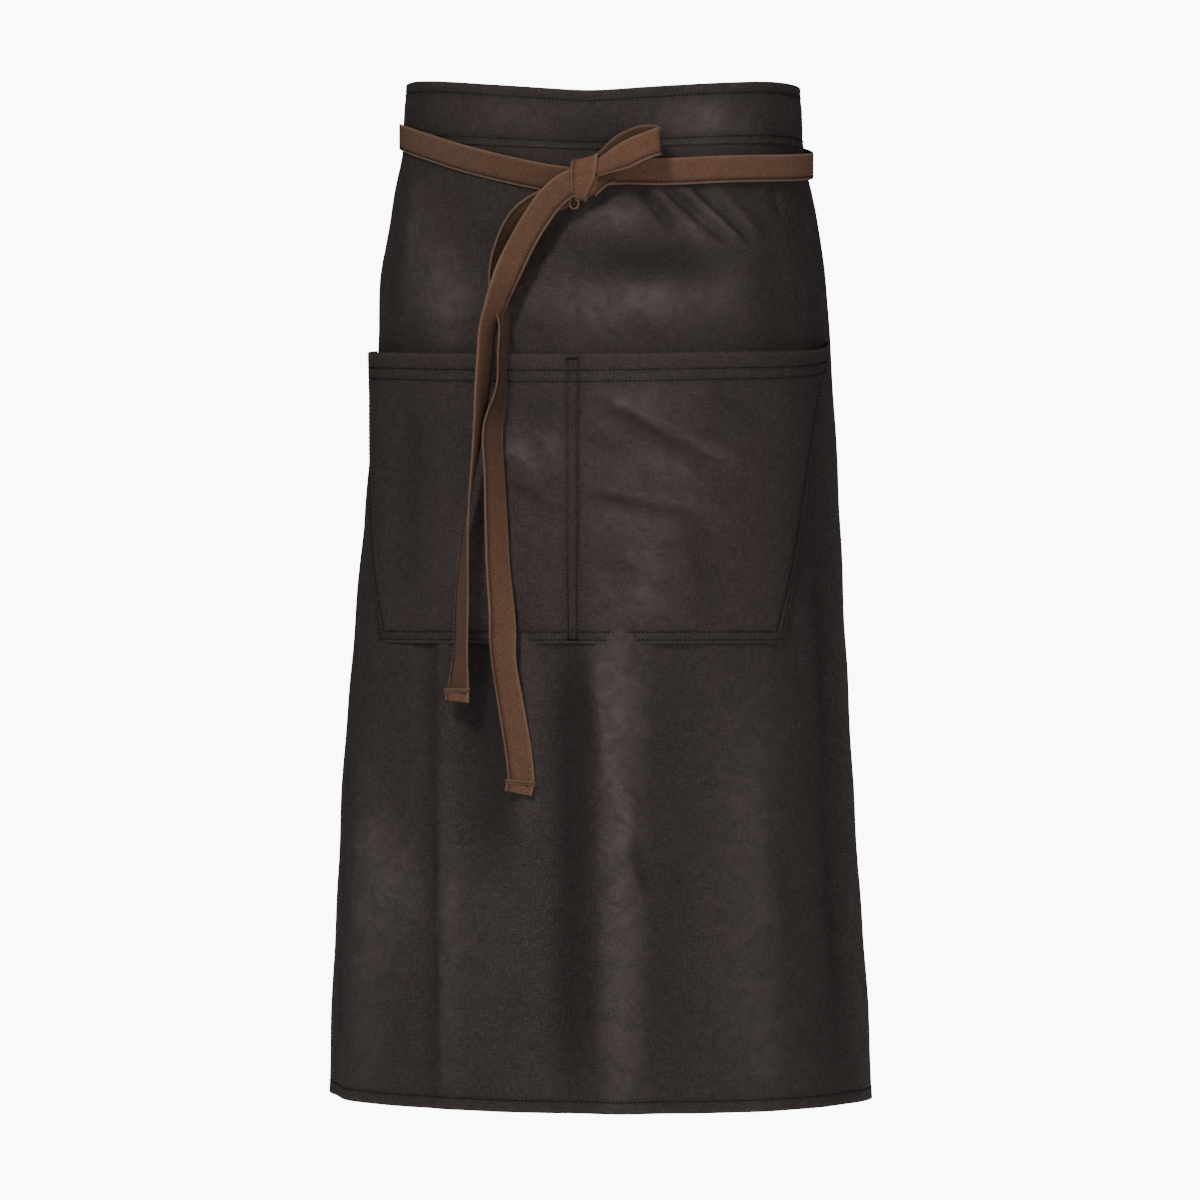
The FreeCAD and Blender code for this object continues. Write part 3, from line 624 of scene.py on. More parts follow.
skirt = {
    "halfLength": 0.428, "hem": -0.768, "top": 0.058, "thick": 0.001,
    "hemFold": 0.0115, "sideFold": 0.0105, "foldThick": 0.0009, "hemRow": 0.0095, "sideRow": 0.009,
    # creases: s0, z0, s1, z1, half width, height outwards
    "folds": [
        (0.05, -0.026, 0.078, -0.062, 0.004, -0.0026), (0.074, -0.03, 0.122, -0.07, 0.0045, -0.0028),
        (0.096, -0.028, 0.138, -0.066, 0.004, -0.0024), (0.165, -0.024, 0.175, -0.045, 0.004, -0.0014),
        (0.06, -0.024, 0.1, -0.066, 0.0048, 0.0018), (0.086, -0.026, 0.132, -0.068, 0.0048, 0.0018),
        (0.112, -0.026, 0.15, -0.066, 0.005, 0.0014), (0.024, -0.04, 0.06, -0.078, 0.01, 0.0012),
        (0.02, -0.086, 0.11, -0.092, 0.02, -0.0022), (-0.02, -0.1, -0.15, -0.12, 0.03, 0.0014),
        (-0.126, -0.4, -0.122, -0.76, 0.011, -0.0022), (-0.108, -0.39, -0.104, -0.74, 0.012, 0.0018),
        (-0.078, -0.39, -0.07, -0.56, 0.022, -0.0048), (-0.044, -0.39, -0.04, -0.53, 0.013, 0.0026),
        (0.003, -0.392, 0.003, -0.74, 0.017, -0.0052), (0.034, -0.4, 0.04, -0.76, 0.022, 0.0042),
        (0.012, -0.395, 0.052, -0.565, 0.01, 0.0022), (0.05, -0.555, 0.062, -0.59, 0.007, -0.0032),
        (0.085, -0.42, 0.082, -0.74, 0.024, -0.0026), (-0.15, -0.6, -0.182, -0.54, 0.02, 0.0024),
        (-0.19, -0.42, -0.2, -0.76, 0.026, 0.003), (0.15, -0.46, 0.156, -0.76, 0.024, 0.0022),
        (-0.3, -0.2, -0.31, -0.76, 0.03, 0.0035), (0.29, -0.2, 0.3, -0.76, 0.03, 0.0035),
        (-0.25, -0.3, -0.26, -0.76, 0.02, -0.0025), (0.24, -0.3, 0.25, -0.76, 0.02, -0.0025),
        (-0.37, -0.3, -0.38, -0.76, 0.024, 0.003), (0.36, -0.25, 0.37, -0.76, 0.024, 0.003),
    ],
    "ripple": 0.0007,
}


# skirtRelief: all creases, a small uneven ripple of sines, and dips along the hem and side rows
def skirtRelief(s, z):
    lines = creases(s, z, skirt["folds"])
    ripple = (np.sin(61 * s + 23 * z) * np.sin(47 * z - 19 * s + 1.3) + 0.6 * np.sin(118 * s + 31 * z + 0.7))
    calm = ease(z, 0.005, -0.03)
    return (1.9 * lines + skirt["ripple"] * ripple) * calm


def skirtSeam(s, z):
    hemLine = bell(z - skirt["hem"] - skirt["hemRow"], 0.0019)
    sideLine = bell(skirt["halfLength"] - skirt["sideRow"] - np.abs(s), 0.0019)
    return np.maximum(hemLine, sideLine * (z < 0.01))


def skirtOuter(s, z, out=0.0):
    return onBody(s, z, skirt["thick"] + out + skirtRelief(s, z) - 0.0003 * skirtSeam(s, z))


edge = skirt["halfLength"]
sRuns = graded((-edge, -edge + 0.014, 0.0018), (-edge + 0.014, -0.2, 0.006), (-0.2, 0.02, 0.0042),
               (0.02, 0.19, 0.0026), (0.19, edge - 0.014, 0.006), (edge - 0.014, edge, 0.0018))
zRuns = graded((skirt["hem"], skirt["hem"] + 0.0145, 0.0018), (skirt["hem"] + 0.0145, -0.1, 0.0052),
               (-0.1, -0.02, 0.0026), (-0.02, skirt["top"], 0.0065))
s, z = np.meshgrid(sRuns, zRuns, indexing="ij")
folded = np.maximum(ease(z, skirt["hem"] + skirt["hemFold"] + 0.001, skirt["hem"] + skirt["hemFold"] - 0.0008),
                    ease(np.abs(s), edge - skirt["sideFold"] - 0.001, edge - skirt["sideFold"] + 0.0008))
outer = skirtOuter(s, z)
inner = onBody(s, z, skirtRelief(s, z) - skirt["foldThick"] * folded)
rub = np.maximum(bell(z - skirt["hem"], 0.0022), bell(edge - np.abs(s), 0.0022))
skirtPiece = makeCloth("skirtPanel", outer, inner, np.stack([s, z], axis=-1), apronCloth,
                       seam=skirtSeam(s, z), rub=rub, polish=creasePaintedLight(s, z, skirt["folds"]))
finishPiece(skirtPiece, "apron", "apron_cloth", "skirt_panel")

sewing = {"pitch": 0.0034, "length": 0.0023, "radius": 0.0005, "bow": 0.00015}


# sewnOn: a row's points on a surface, and the way out of it, from two offsets of the same formula
def sewnOn(surface, s, z, lift=0.0001):
    low, high = surface(s, z, lift), surface(s, z, lift + 0.001)
    return low, unit(high - low)


# sewDark: rows of dark thread on the apron's body
def sewDark(name, rows, node, rowSewing=sewing):
    finishPiece(makeStitches(name, rows, rowSewing, darkThread), "apron", "dark_thread", node)


hemS = np.linspace(-edge + 0.004, edge - 0.004, 400)
hemRow = sewnOn(skirtOuter, hemS, np.full(400, skirt["hem"] + skirt["hemRow"]))
sideZ = np.linspace(skirt["hem"] + 0.012, 0.006, 300)
sideRows = [sewnOn(skirtOuter, np.full(300, side * (edge - skirt["sideRow"])), sideZ) for side in (-1, 1)]
sewDark("skirtHemStitches", [hemRow], "skirt_hem_stitching")
sewDark("skirtSideStitches", sideRows, "skirt_side_stitching")
print("skirt made")


band = {
    "top": 0.066, "edge": 0.014, "topRow": 0.057, "lowerRow": 0.0205, "standOff": 0.0022, "thick": 0.001,
    "turnRadius": 0.0016, "puff": 0.0008, "gather": 0.0004,
}


outsideRun = band["top"] - band["edge"] - band["turnRadius"]
turnRun = math.pi * band["turnRadius"]
bandRun = 2 * outsideRun + turnRun


# bandSkin: the folded strip's section: up the outside, over the top in a half circle, down the inside
def bandSkin(s, v, grown):
    turn = np.clip((v - outsideRun) / turnRun, 0, 1) * math.pi
    down = np.clip(v - outsideRun - turnRun, 0, None)
    middle = band["standOff"] - band["turnRadius"]
    out = middle + (band["turnRadius"] + grown) * np.cos(turn)
    height = band["edge"] + np.minimum(v, outsideRun) + (band["turnRadius"] + grown) * np.sin(turn) - down
    rows = bell(height - band["topRow"], 0.003) + bell(height - band["lowerRow"], 0.003)
    between = (ease(height, band["lowerRow"], band["lowerRow"] + 0.012)
               * ease(height, band["topRow"], band["topRow"] - 0.012))
    wave = np.sin(52 * s + 0.6) * np.sin(31 * s - 1.0) + 0.5 * np.sin(97 * s + height * 60)
    relief = (band["puff"] * between * (0.6 + 0.4 * wave) - 0.0003 * rows
              + band["gather"] * wave * ease(v, 0.0, 0.006))
    return onBody(s, height, out + relief * (turn < 0.3))


vRuns = graded((0, 0.0105, 0.0015), (0.0105, 0.039, 0.0035), (0.039, outsideRun, 0.0016),
               (outsideRun, outsideRun + turnRun, 0.0006), (outsideRun + turnRun, bandRun, 0.005))
bandS = graded((-edge, -edge + 0.006, 0.002), (-edge + 0.006, edge - 0.006, 0.0042),
               (edge - 0.006, edge, 0.002))
s, v = np.meshgrid(bandS, vRuns, indexing="ij")
heights = band["edge"] + np.minimum(v, outsideRun)
rowMarks = [bell(heights - band[key], 0.0028) for key in ("topRow", "lowerRow")]
seam = np.max(rowMarks, axis=0) * (v < outsideRun)
rub = np.maximum(bell(v, 0.0018), bell(v - outsideRun - 0.5 * turnRun, 0.0026) * 0.8)
rub = np.maximum(rub, bell(edge - np.abs(s), 0.0022))
bandPiece = makeCloth("waistbandStrip", bandSkin(s, v, 0.0), bandSkin(s, v, -band["thick"]),
                      np.stack([s, v], axis=-1), apronCloth, seam=seam, rub=rub,
                      polish=polishAt(s, heights) * (v < outsideRun))
finishPiece(bandPiece, "apron", "apron_cloth", "waistband")
bandFace = lambda s, height, lift: bandSkin(s, height - band["edge"], lift)
for nodeName, pieceName, height in (("waistband_top_stitching", "waistbandTopStitches", band["topRow"]),
                                    ("waistband_lower_stitching", "waistbandLowerStitches", band["lowerRow"])):
    sewDark(pieceName, [sewnOn(bandFace, hemS, np.full(400, height))], nodeName)
print("waistband made")


pocket = {
    "base": -0.3945, "thick": 0.001, "layer": 0.00115,
    "edgeHeights": [-0.392, -0.343, -0.294, -0.251, -0.191, -0.148],
    "edgeLengths": [0.18, 0.193, 0.204, 0.213, 0.228, 0.254],
    "mouthPlaces": [
        -1.0, -0.93, -0.72, -0.45, -0.2, 0.0, 0.25, 0.55, 0.72, 0.85, 0.93, 1.0,
    ],
    "mouthHeights": [
        -0.1535, -0.1555, -0.1585, -0.162, -0.164, -0.1645, -0.164, -0.1618, -0.16, -0.1572, -0.154, -0.149,
    ],
    "puff": 0.0105, "puffShape": 0.42, "mouthRow": 0.013, "mouthRowTwo": 0.022,
    "rowInset": 0.0026, "rowInsetTwo": 0.009,
    "divider": 0.0035, "mouthFold": 0.0245, "sideRowTop": -0.158,
    "baseHalf": 0.1805, "dividerTop": -0.168, "tackHalf": 0.0052,
    "tackHeights": (-0.1676, -0.1684, -0.3912, -0.392),
    "folds": [
        (0.018, -0.205, 0.112, -0.258, 0.005, -0.0024), (0.03, -0.2, 0.128, -0.25, 0.0065, 0.0018),
        (0.018, -0.281, 0.094, -0.296, 0.0045, -0.0022), (0.018, -0.27, 0.1, -0.286, 0.006, 0.0016),
        (0.016, -0.232, 0.06, -0.262, 0.005, -0.0014), (0.02, -0.33, 0.08, -0.352, 0.009, -0.0014),
        (-0.034, -0.232, -0.012, -0.272, 0.005, -0.0024), (-0.052, -0.238, -0.014, -0.262, 0.006, 0.0016),
        (-0.046, -0.272, -0.01, -0.292, 0.006, -0.0014), (0.06, -0.3, 0.062, -0.38, 0.018, 0.0022),
        (0.11, -0.19, 0.15, -0.215, 0.007, -0.0012), (-0.145, -0.2, -0.142, -0.36, 0.02, -0.002),
        (0.1, -0.3, 0.115, -0.37, 0.013, -0.0018), (-0.085, -0.3, -0.08, -0.372, 0.012, 0.0014),
    ],
}


def mouthAt(u):
    return np.interp(u, pocket["mouthPlaces"], pocket["mouthHeights"])


def sideAt(z):
    return np.interp(z, pocket["edgeHeights"], pocket["edgeLengths"])


# pocketPlace: s = side length at that height x u, z runs from the base to the curved mouth line
def pocketPlace(u, w):
    mouth = mouthAt(u)
    z = pocket["base"] + (mouth - pocket["base"]) * w
    return u * sideAt(z), z


# pocketSkin: the panel stands off by puff x (sine across each pocket)^shape x rise from the base
def pocketSkin(u, w, lift=0.0):
    s, z = pocketPlace(u, w)
    half = sideAt(z)
    free = np.clip((np.abs(s) - pocket["divider"]) / (half - pocket["divider"] - pocket["rowInset"]), 0, 1)
    across = np.clip(np.sin(math.pi * free), 0, 1) ** pocket["puffShape"]
    rise = ease(z, pocket["base"] + pocket["rowInset"], pocket["base"] + 0.075)
    mouthward = 0.8 + 0.2 * ease(w, 0.55, 1.0)
    relief = 2.0 * creases(s, z, pocket["folds"]) * ease(free, 0.0, 0.1) * ease(1 - free, 0.0, 0.1)
    under = skirtRelief(s, z) * ease(free, 0.12, 0.0)
    puffed = pocket["puff"] * across * rise * mouthward
    return onBody(s, z, skirt["thick"] + pocket["layer"] + lift + puffed + relief + under
                  - 0.00025 * pocketSeam(u, w))


def pocketSeam(u, w):
    s, z = pocketPlace(u, w)
    half = sideAt(z)
    mouth = mouthAt(u)
    below, within, above = mouth - z, half - np.abs(s), z - pocket["base"]
    gaps = (below - pocket["mouthRow"], below - pocket["mouthRowTwo"], within - pocket["rowInset"],
            within - pocket["rowInsetTwo"], above - pocket["rowInset"], above - pocket["rowInsetTwo"],
            np.abs(s) - pocket["divider"])
    return np.max([bell(gap, 0.0019) for gap in gaps], axis=0)


uRuns = graded((-1, -0.94, 0.008), (-0.94, -0.03, 0.0155), (-0.03, 0.03, 0.006), (0.03, 0.94, 0.0135),
               (0.94, 1, 0.008))
wRuns = graded((0, 0.05, 0.0075), (0.05, 0.89, 0.0145), (0.89, 1.0, 0.0078))
u, w = np.meshgrid(uRuns, wRuns, indexing="ij")
s, z = pocketPlace(u, w)
half, mouth = sideAt(z), mouthAt(u)
rub = np.max([bell(mouth - z, 0.0026), bell(z - pocket["base"], 0.0022), bell(half - np.abs(s), 0.0024)],
             axis=0)
turned = ease(mouth - z, pocket["mouthFold"] + 0.001, pocket["mouthFold"] - 0.001)
pocketPiece = makeCloth("pocketPanel", pocketSkin(u, w, pocket["thick"]), pocketSkin(u, w, -0.0008 * turned),
                        np.stack([s + 0.5, z + 0.3], axis=-1), pocketCloth, seam=pocketSeam(u, w), rub=rub,
                        polish=creasePaintedLight(s, z, pocket["folds"]))
finishPiece(pocketPiece, "apron", "pocket_cloth", "pocket_panel")

pocketFace = lambda u, w, lift: pocketSkin(u, w, pocket["thick"] + lift)


# wOf: the share of the way up the pocket at which a height lies
def wOf(u, z):
    return (z - pocket["base"]) / (mouthAt(u) - pocket["base"])


# sewnOnPocket: a row given by its lengths from the middle and its heights
def sewnOnPocket(s, z, lift=0.0001):
    u = s / sideAt(z)
    return sewnOn(pocketFace, u, wOf(u, z), lift)


rowU = np.linspace(-0.985, 0.985, 360)
mouthRows = [sewnOn(pocketFace, rowU, wOf(rowU, mouthAt(rowU) - pocket[key]))
             for key in ("mouthRow", "mouthRowTwo")]
sewDark("pocketMouthStitches", mouthRows, "pocket_mouth_stitching")
edgeRows = []
for inset in (pocket["rowInset"], pocket["rowInsetTwo"]):
    rowZ = np.linspace(pocket["base"] + inset, pocket["sideRowTop"], 200)
    edgeRows += [sewnOnPocket(side * (sideAt(rowZ) - inset), rowZ) for side in (-1, 1)]
    baseS = np.linspace(-1, 1, 300) * (pocket["baseHalf"] - inset)
    edgeRows.append(sewnOnPocket(baseS, np.full(300, pocket["base"] + inset)))
sewDark("pocketEdgeStitches", edgeRows, "pocket_edge_stitching")
rowZ = np.linspace(pocket["base"] + 0.003, pocket["dividerTop"], 160)
dividerRows = [sewnOnPocket(np.full(160, side * pocket["divider"]), rowZ) for side in (-1, 1)]
sewDark("pocketDividerStitches", dividerRows, "pocket_divider_stitching")
tackS = np.linspace(-pocket["tackHalf"], pocket["tackHalf"], 24)
tackRows = [sewnOnPocket(tackS, np.full(24, tackZ), 0.0003) for tackZ in pocket["tackHeights"]]
tackSewing = dict(sewing, pitch=0.0015, length=0.0017, radius=0.00036)
sewDark("pocketBarTacks", tackRows, "pocket_bar_tacks", tackSewing)
print("pocket made")


tie = {"width": 0.0218, "thick": 0.0017, "points": 15, "sewnSide": 1, "sewnInset": 0.0026, "rimSwell": 0.35}
tieSewing = {"pitch": 0.003, "length": 0.0021, "radius": 0.00052, "bow": 0.00025}
waistTies = {
    # turn round the body in degrees from the front, middle height, distance out from the skirt
    "leftTie": {
        "sewnSide": 1, "tone": -0.48,
        "stations": [
            (1.2, -0.0262, 0.0072), (-3, -0.0243, 0.005), (-9.5, -0.021, 0.0042), (-20, -0.014, 0.0042),
            (-33, -0.0045, 0.0042), (-55, 0.0112, 0.0044), (-80, 0.0226, 0.0046), (-100, 0.024, 0.0044),
            (-140, 0.024, 0.0042), (-180, 0.024, 0.0042), (-202, 0.025, 0.0042),
        ]},
    "rightTie": {
        "sewnSide": -1, "tone": -0.05,
        "stations": [
            (6.5, -0.0185, 0.0078), (12, -0.0172, 0.0064), (21.3, -0.0176, 0.006), (42.5, -0.014, 0.006),
            (68, -0.0096, 0.006), (92, -0.0035, 0.0062), (115, 0.0055, 0.006), (137, 0.016, 0.006),
            (158, 0.0305, 0.006), (180, 0.042, 0.006), (201.5, 0.05, 0.006),
        ]},
}


tieFacing = np.array([1 / 0.17, 1 / 0.127, 0])     # one over the body's half width and half depth


# tieOnBody: the strap's middle line on the oval, its width turned flat to the body
def tieOnBody(run):
    turns, heights, outs = np.array(run["stations"], float).T
    stations = np.stack([*onTurn(np.radians(turns), heights, outs).T, turns, heights, outs], axis=-1)
    path = smoothPath(stations, 0.004)
    turn, height, out = np.radians(path[:, 3]), path[:, 4], path[:, 5]
    droopFree = onTurn(turn, height, out)
    droopFree[:, 2] = height
    normal = unit(np.stack([np.sin(turn), -np.cos(turn), np.zeros_like(turn)], axis=-1) * tieFacing)
    return droopFree, np.cross(normal, unit(np.gradient(droopFree, axis=0)))


# strapRow: the sewn row beside one rim of a strap, on its outer face
def strapRow(path, wide, out, strap, side, first=0.002, last=0.002, scale=1.0):
    run = distances(path)
    keep = (run > first) & (run < run[-1] - last)
    offset = side * (strap["width"] / 2 * np.broadcast_to(scale, len(path)) - strap["sewnInset"])[:, None]
    lift = strap["thick"] / 2 * 0.62
    return (path + wide * offset + out * lift)[keep], out[keep]


# sewTie: rows of brown thread on one body of the ties
def sewTie(name, rows, body, *nodes):
    return finishPiece(makeStitches(name, rows, tieSewing, tieThread), body, "tie_thread", *nodes)


for name, run in waistTies.items():
    strap = dict(tie, sewnSide=run["sewnSide"])
    path, wideWays = tieOnBody(run)
    piece, _, wide, out = makeStrap(name + "Strap", path, wideWays, strap, tieCloth, tone=run["tone"])
    row = strapRow(path, wide, out, strap, run["sewnSide"])
    side = name.replace("Tie", "")
    finishPiece(piece, "apron", "tie_cloth", f"{side}_tie_waist_strap")
    sewTie(name + "Stitches", [row], "apron", f"{side}_tie_edge_stitching")

# the sewn rectangles that hold each tie to one back end of the band, on the tie's face and inside the band
anchorRows = []
for turnA, turnB, lowZ, highZ, out in ((-201, -190, 0.0165, 0.033, 0.0052),
                                       (200.5, 189.5, 0.039, 0.056, 0.007)):
    corners = np.array([(turnA, lowZ), (turnB, lowZ), (turnB, highZ), (turnA, highZ), (turnA, lowZ)], float)
    walk = np.linspace(0, 4, 121)
    turnWalk = np.radians(np.interp(walk, np.arange(5), corners[:, 0]))
    heightWalk = np.interp(walk, np.arange(5), corners[:, 1])
    for facing, offset in ((1, out), (-1, -0.0014)):
        low, high = onTurn(turnWalk, heightWalk, offset), onTurn(turnWalk, heightWalk, offset + 0.001)
        anchorRows.append((low, unit(high - low) * facing))
sewTie("tieAnchorStitches", anchorRows, "apron", "tie_anchor_stitching")
print("ties made")


tails = {
    # x, y, z of the middle line, then the way its width lies there
    "longTail": {
        "sewnSide": -1, "joint": -0.2983,
        # tones: heights, then how far the colour is darkened there; the deepest darkening, near -0.2, is
        # painted shade where the tail stands edge-on in shadow
        "tones": ([-0.55, -0.36, -0.26, -0.2, -0.08, 0], [-0.1, -0.15, -0.55, -0.95, -0.7, -0.3]),
        "bodies": ("long_tail_upper", "long_tail_lower"),
        "stations": [
            (0.0005, -0.1385, -0.0335, 0, 0, -1), (-0.01, -0.1395, -0.0365, 0.1, 0, -1),
            (-0.024, -0.1415, -0.0425, 0.3, 0.1, -0.9), (-0.048, -0.144, -0.0585, 0.4, 0.75, -0.5),
            (-0.059, -0.1475, -0.079, 0.35, 0.92, 0), (-0.061, -0.15, -0.111, 0.5, 0.86, 0),
            (-0.0578, -0.1535, -0.127, 0.34, 0.92, 0), (-0.0545, -0.16, -0.143, 0.18, 0.97, 0),
            (-0.0545, -0.1668, -0.165, 0.16, 0.98, 0), (-0.0548, -0.1682, -0.188, 0.18, 0.97, 0),
            (-0.0617, -0.1685, -0.224, 0.62, 0.78, 0), (-0.0605, -0.168, -0.261, 0.64, 0.77, 0),
            (-0.059, -0.1678, -0.298, 0.74, 0.67, 0), (-0.0575, -0.1672, -0.335, 0.8, 0.6, 0),
            (-0.0548, -0.165, -0.372, 0.88, 0.4, 0), (-0.054, -0.1622, -0.407, 1, -0.2, 0),
            (-0.048, -0.1605, -0.446, 1, -0.1, 0), (-0.0415, -0.159, -0.49, 1, 0, 0),
            (-0.0405, -0.1586, -0.502, 1, 0, 0.12), (-0.0425, -0.1586, -0.514, 1, 0, 0.25),
        ]},
    "shortTail": {
        "sewnSide": 1, "joint": -0.1663,
        # tones: heights, then how far the colour is darkened there
        "tones": ([-0.45, -0.3, -0.22, -0.14, -0.09, 0], [-0.6, -0.65, -0.55, -0.45, -0.25, -0.15]),
        "bodies": ("short_tail_upper", "short_tail_lower"),
        "stations": [
            (0.0015, -0.1462, -0.0265, 0.0, 0, -1), (-0.006, -0.148, -0.03, 0.2, 0, -0.97),
            (-0.0157, -0.15, -0.038, 0.5, 0, -0.85), (-0.0287, -0.1545, -0.056, 0.8, 0, -0.6),
            (-0.042, -0.1585, -0.08, 0.85, 0, -0.5), (-0.056, -0.165, -0.114, 0.75, 0.6, -0.3),
            (-0.061, -0.1672, -0.129, 0.62, 0.75, -0.2), (-0.0655, -0.169, -0.144, 0.5, 0.86, -0.1),
            (-0.0672, -0.1705, -0.166, 0.48, 0.88, 0), (-0.069, -0.172, -0.188, 0.42, 0.9, 0),
            (-0.0722, -0.173, -0.222, 0.22, 0.97, 0), (-0.0745, -0.1728, -0.24, 0.08, 1, 0),
            (-0.0775, -0.1715, -0.261, -0.05, 1, 0), (-0.082, -0.1695, -0.294, -0.25, 0.97, 0),
            (-0.085, -0.1665, -0.324, -0.45, 0.88, 0), (-0.0873, -0.163, -0.353, -0.62, 0.78, 0),
            (-0.0897, -0.159, -0.407, -0.7, 0.7, 0), (-0.0925, -0.156, -0.441, -0.95, 0.32, 0),
        ]},
}
tailEnd = {"length": 0.0105, "spare": 0.0011, "rollHalf": 0.0122, "rollSlant": 0.0012}
for name, tail in tails.items():
    strap = dict(tie, sewnSide=tail["sewnSide"])
    path = smoothPath(tail["stations"], 0.003)
    middle, wideWays = path[:, :3], unit(path[:, 3:])
    tone = np.interp(middle[:, 2], *tail["tones"])
    strip, _, wide, out = makeStrap(name + "Strap", middle, wideWays, strap, tieCloth, curl=0.0006, tone=tone)
    row = strapRow(middle, wide, out, strap, tail["sewnSide"], last=0.012)
    behind = (row[0] - 2 * row[1] * strap["thick"] * 0.31, -row[1])
    # the turned-up end: a second short layer on the face, sewn across along its free edge
    run = distances(middle)
    nearEnd = run > run[-1] - tailEnd["length"]
    faceSide = 1 if name == "longTail" else -1
    cuffPath = middle[nearEnd] + faceSide * out[nearEnd] * (strap["thick"] * 0.5 + tailEnd["spare"] * 0.5)
    cuffStrap = dict(strap, thick=0.0016, width=tie["width"] + 0.0004, rimSwell=0.2, sewnInset=0.0026)
    cuffShare = np.linspace(0, 1, len(cuffPath))
    cuffPath = np.stack([np.interp(np.linspace(0, 1, 14), cuffShare, column) for column in cuffPath.T], axis=-1)
    cuffWays = np.broadcast_to(wide[nearEnd].mean(axis=0), cuffPath.shape)
    cuff, cuffAlong, cuffWide, cuffOut = makeStrap(name + "Cuff", cuffPath, cuffWays, cuffStrap, tieCloth)
    acrossRow = np.linspace(-0.0102, 0.0102, 24)[:, None]
    barPlace = cuffPath[2] + faceSide * cuffOut[2] * 0.0008
    barUp = np.broadcast_to(faceSide * cuffOut[2], (24, 3))
    bars = [(barPlace - cuffAlong[2] * shift + cuffWide[2] * acrossRow, barUp) for shift in (0.0, 0.0016)]
    stitches = makeStitches(name + "Stitches", [row, behind] + bars, tieSewing, tieThread)
    # the rolled edge of the turned-up end, bulging over its sewn row
    rollStrap = dict(tie, width=0.0034, thick=0.003, sewnInset=0.0012, rimSwell=0.0)
    rollMiddle = cuffPath[0] + faceSide * cuffOut[0] * 0.0006
    rollSide = -faceSide
    rollShare = np.linspace(-1, 1, 16)[:, None]
    rollPath = (rollMiddle + cuffWide[0] * tailEnd["rollHalf"] * rollShare
                + cuffAlong[0] * tailEnd["rollSlant"] * rollShare * rollSide)
    roll = makeStrap(name + "Roll", rollPath, np.broadcast_to(cuffAlong[0], rollPath.shape), rollStrap,
                     tieCloth, tone=-0.2)[0]
    for piece, slotName, ending in ((strip, "tie_cloth", ""), (stitches, "tie_thread", "_stitching")):
        finishPiece(piece, None, slotName, *[body + ending for body in tail["bodies"]])
        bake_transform(piece)
    for piece in (cuff, roll):
        finishPiece(piece, tail["bodies"][1], "tie_cloth")
print("tails made")


knot = {
    "middle": (0.0095, -0.1415, -0.0245), "halfHeight": 0.0172, "halfDepth": 0.0068,
    "topTilt": 0.27, "squareness": 0.8,
    "rimHeights": [-0.0415, -0.0345, -0.0275, -0.0225, -0.016, -0.007],
    "rightRim": [0.009, 0.0118, 0.015, 0.0172, 0.0186, 0.0196],
    "leftRim": [-0.0002, -0.0014, -0.0022, -0.0024, -0.0026, -0.0022],
}


# knotWrap: a squared oval round the crossing straps, over the top and down the front, between two rims
def knotWrap():
    turn = np.linspace(0, 2 * math.pi, 81) + math.pi / 2
    forward, upward = np.cos(turn), np.sin(turn)
    squared = lambda q: np.sign(q) * np.abs(q) ** knot["squareness"]
    y = knot["middle"][1] + knot["halfDepth"] * squared(forward)
    z = knot["middle"][2] + knot["halfHeight"] * squared(upward)
    rightRim = np.interp(z, knot["rimHeights"], knot["rightRim"])
    leftRim = np.interp(z, knot["rimHeights"], knot["leftRim"])
    tilt = knot["topTilt"] * ease(z, -0.032, -0.01)
    path = np.stack([(rightRim + leftRim) / 2, y, z], axis=-1)
    return path, (rightRim - leftRim) / tie["width"], np.stack([-np.ones_like(z), 0 * z, -tilt], axis=-1)


wrapMiddle, wrapScale, wrapWays = knotWrap()
wrapStrap = dict(tie, sewnSide=1, thick=0.0021, rimSwell=0.55)
wrapPiece, _, wrapWide, wrapOut = makeStrap("knotWrap", wrapMiddle, wrapWays, wrapStrap, tieCloth,
                                            scale=wrapScale, curl=0.0008)
wrapHalf = tie["width"] / 2 * wrapScale
wrapRows = [(wrapMiddle + wrapWide * side * (wrapHalf - inset)[:, None] + wrapOut * 0.0011, wrapOut)
            for side, inset in ((1, 0.0022), (1, 0.0046), (-1, 0.001))]
# the strap that shows as a dark step between the wrap and the right tie; its colour is darkened with painted
# shade
underPath = smoothPath([(0.011, -0.1415, -0.033, 0.62, 0, -0.76), (0.0165, -0.141, -0.0275, 0.6, 0, -0.8),
                        (0.0225, -0.1385, -0.0225, 0.4, 0, -0.92),
                        (0.03, -0.136, -0.0195, 0.15, 0, -0.99)], 0.0015)
underStrap = dict(tie, width=0.0165, sewnSide=1)
underPiece, _, underWide, underOut = makeStrap("knotUnderStrap", underPath[:, :3], unit(underPath[:, 3:]),
                                               underStrap, tieCloth, tone=-0.55)
underRow = strapRow(underPath[:, :3], underWide, underOut, underStrap, 1)


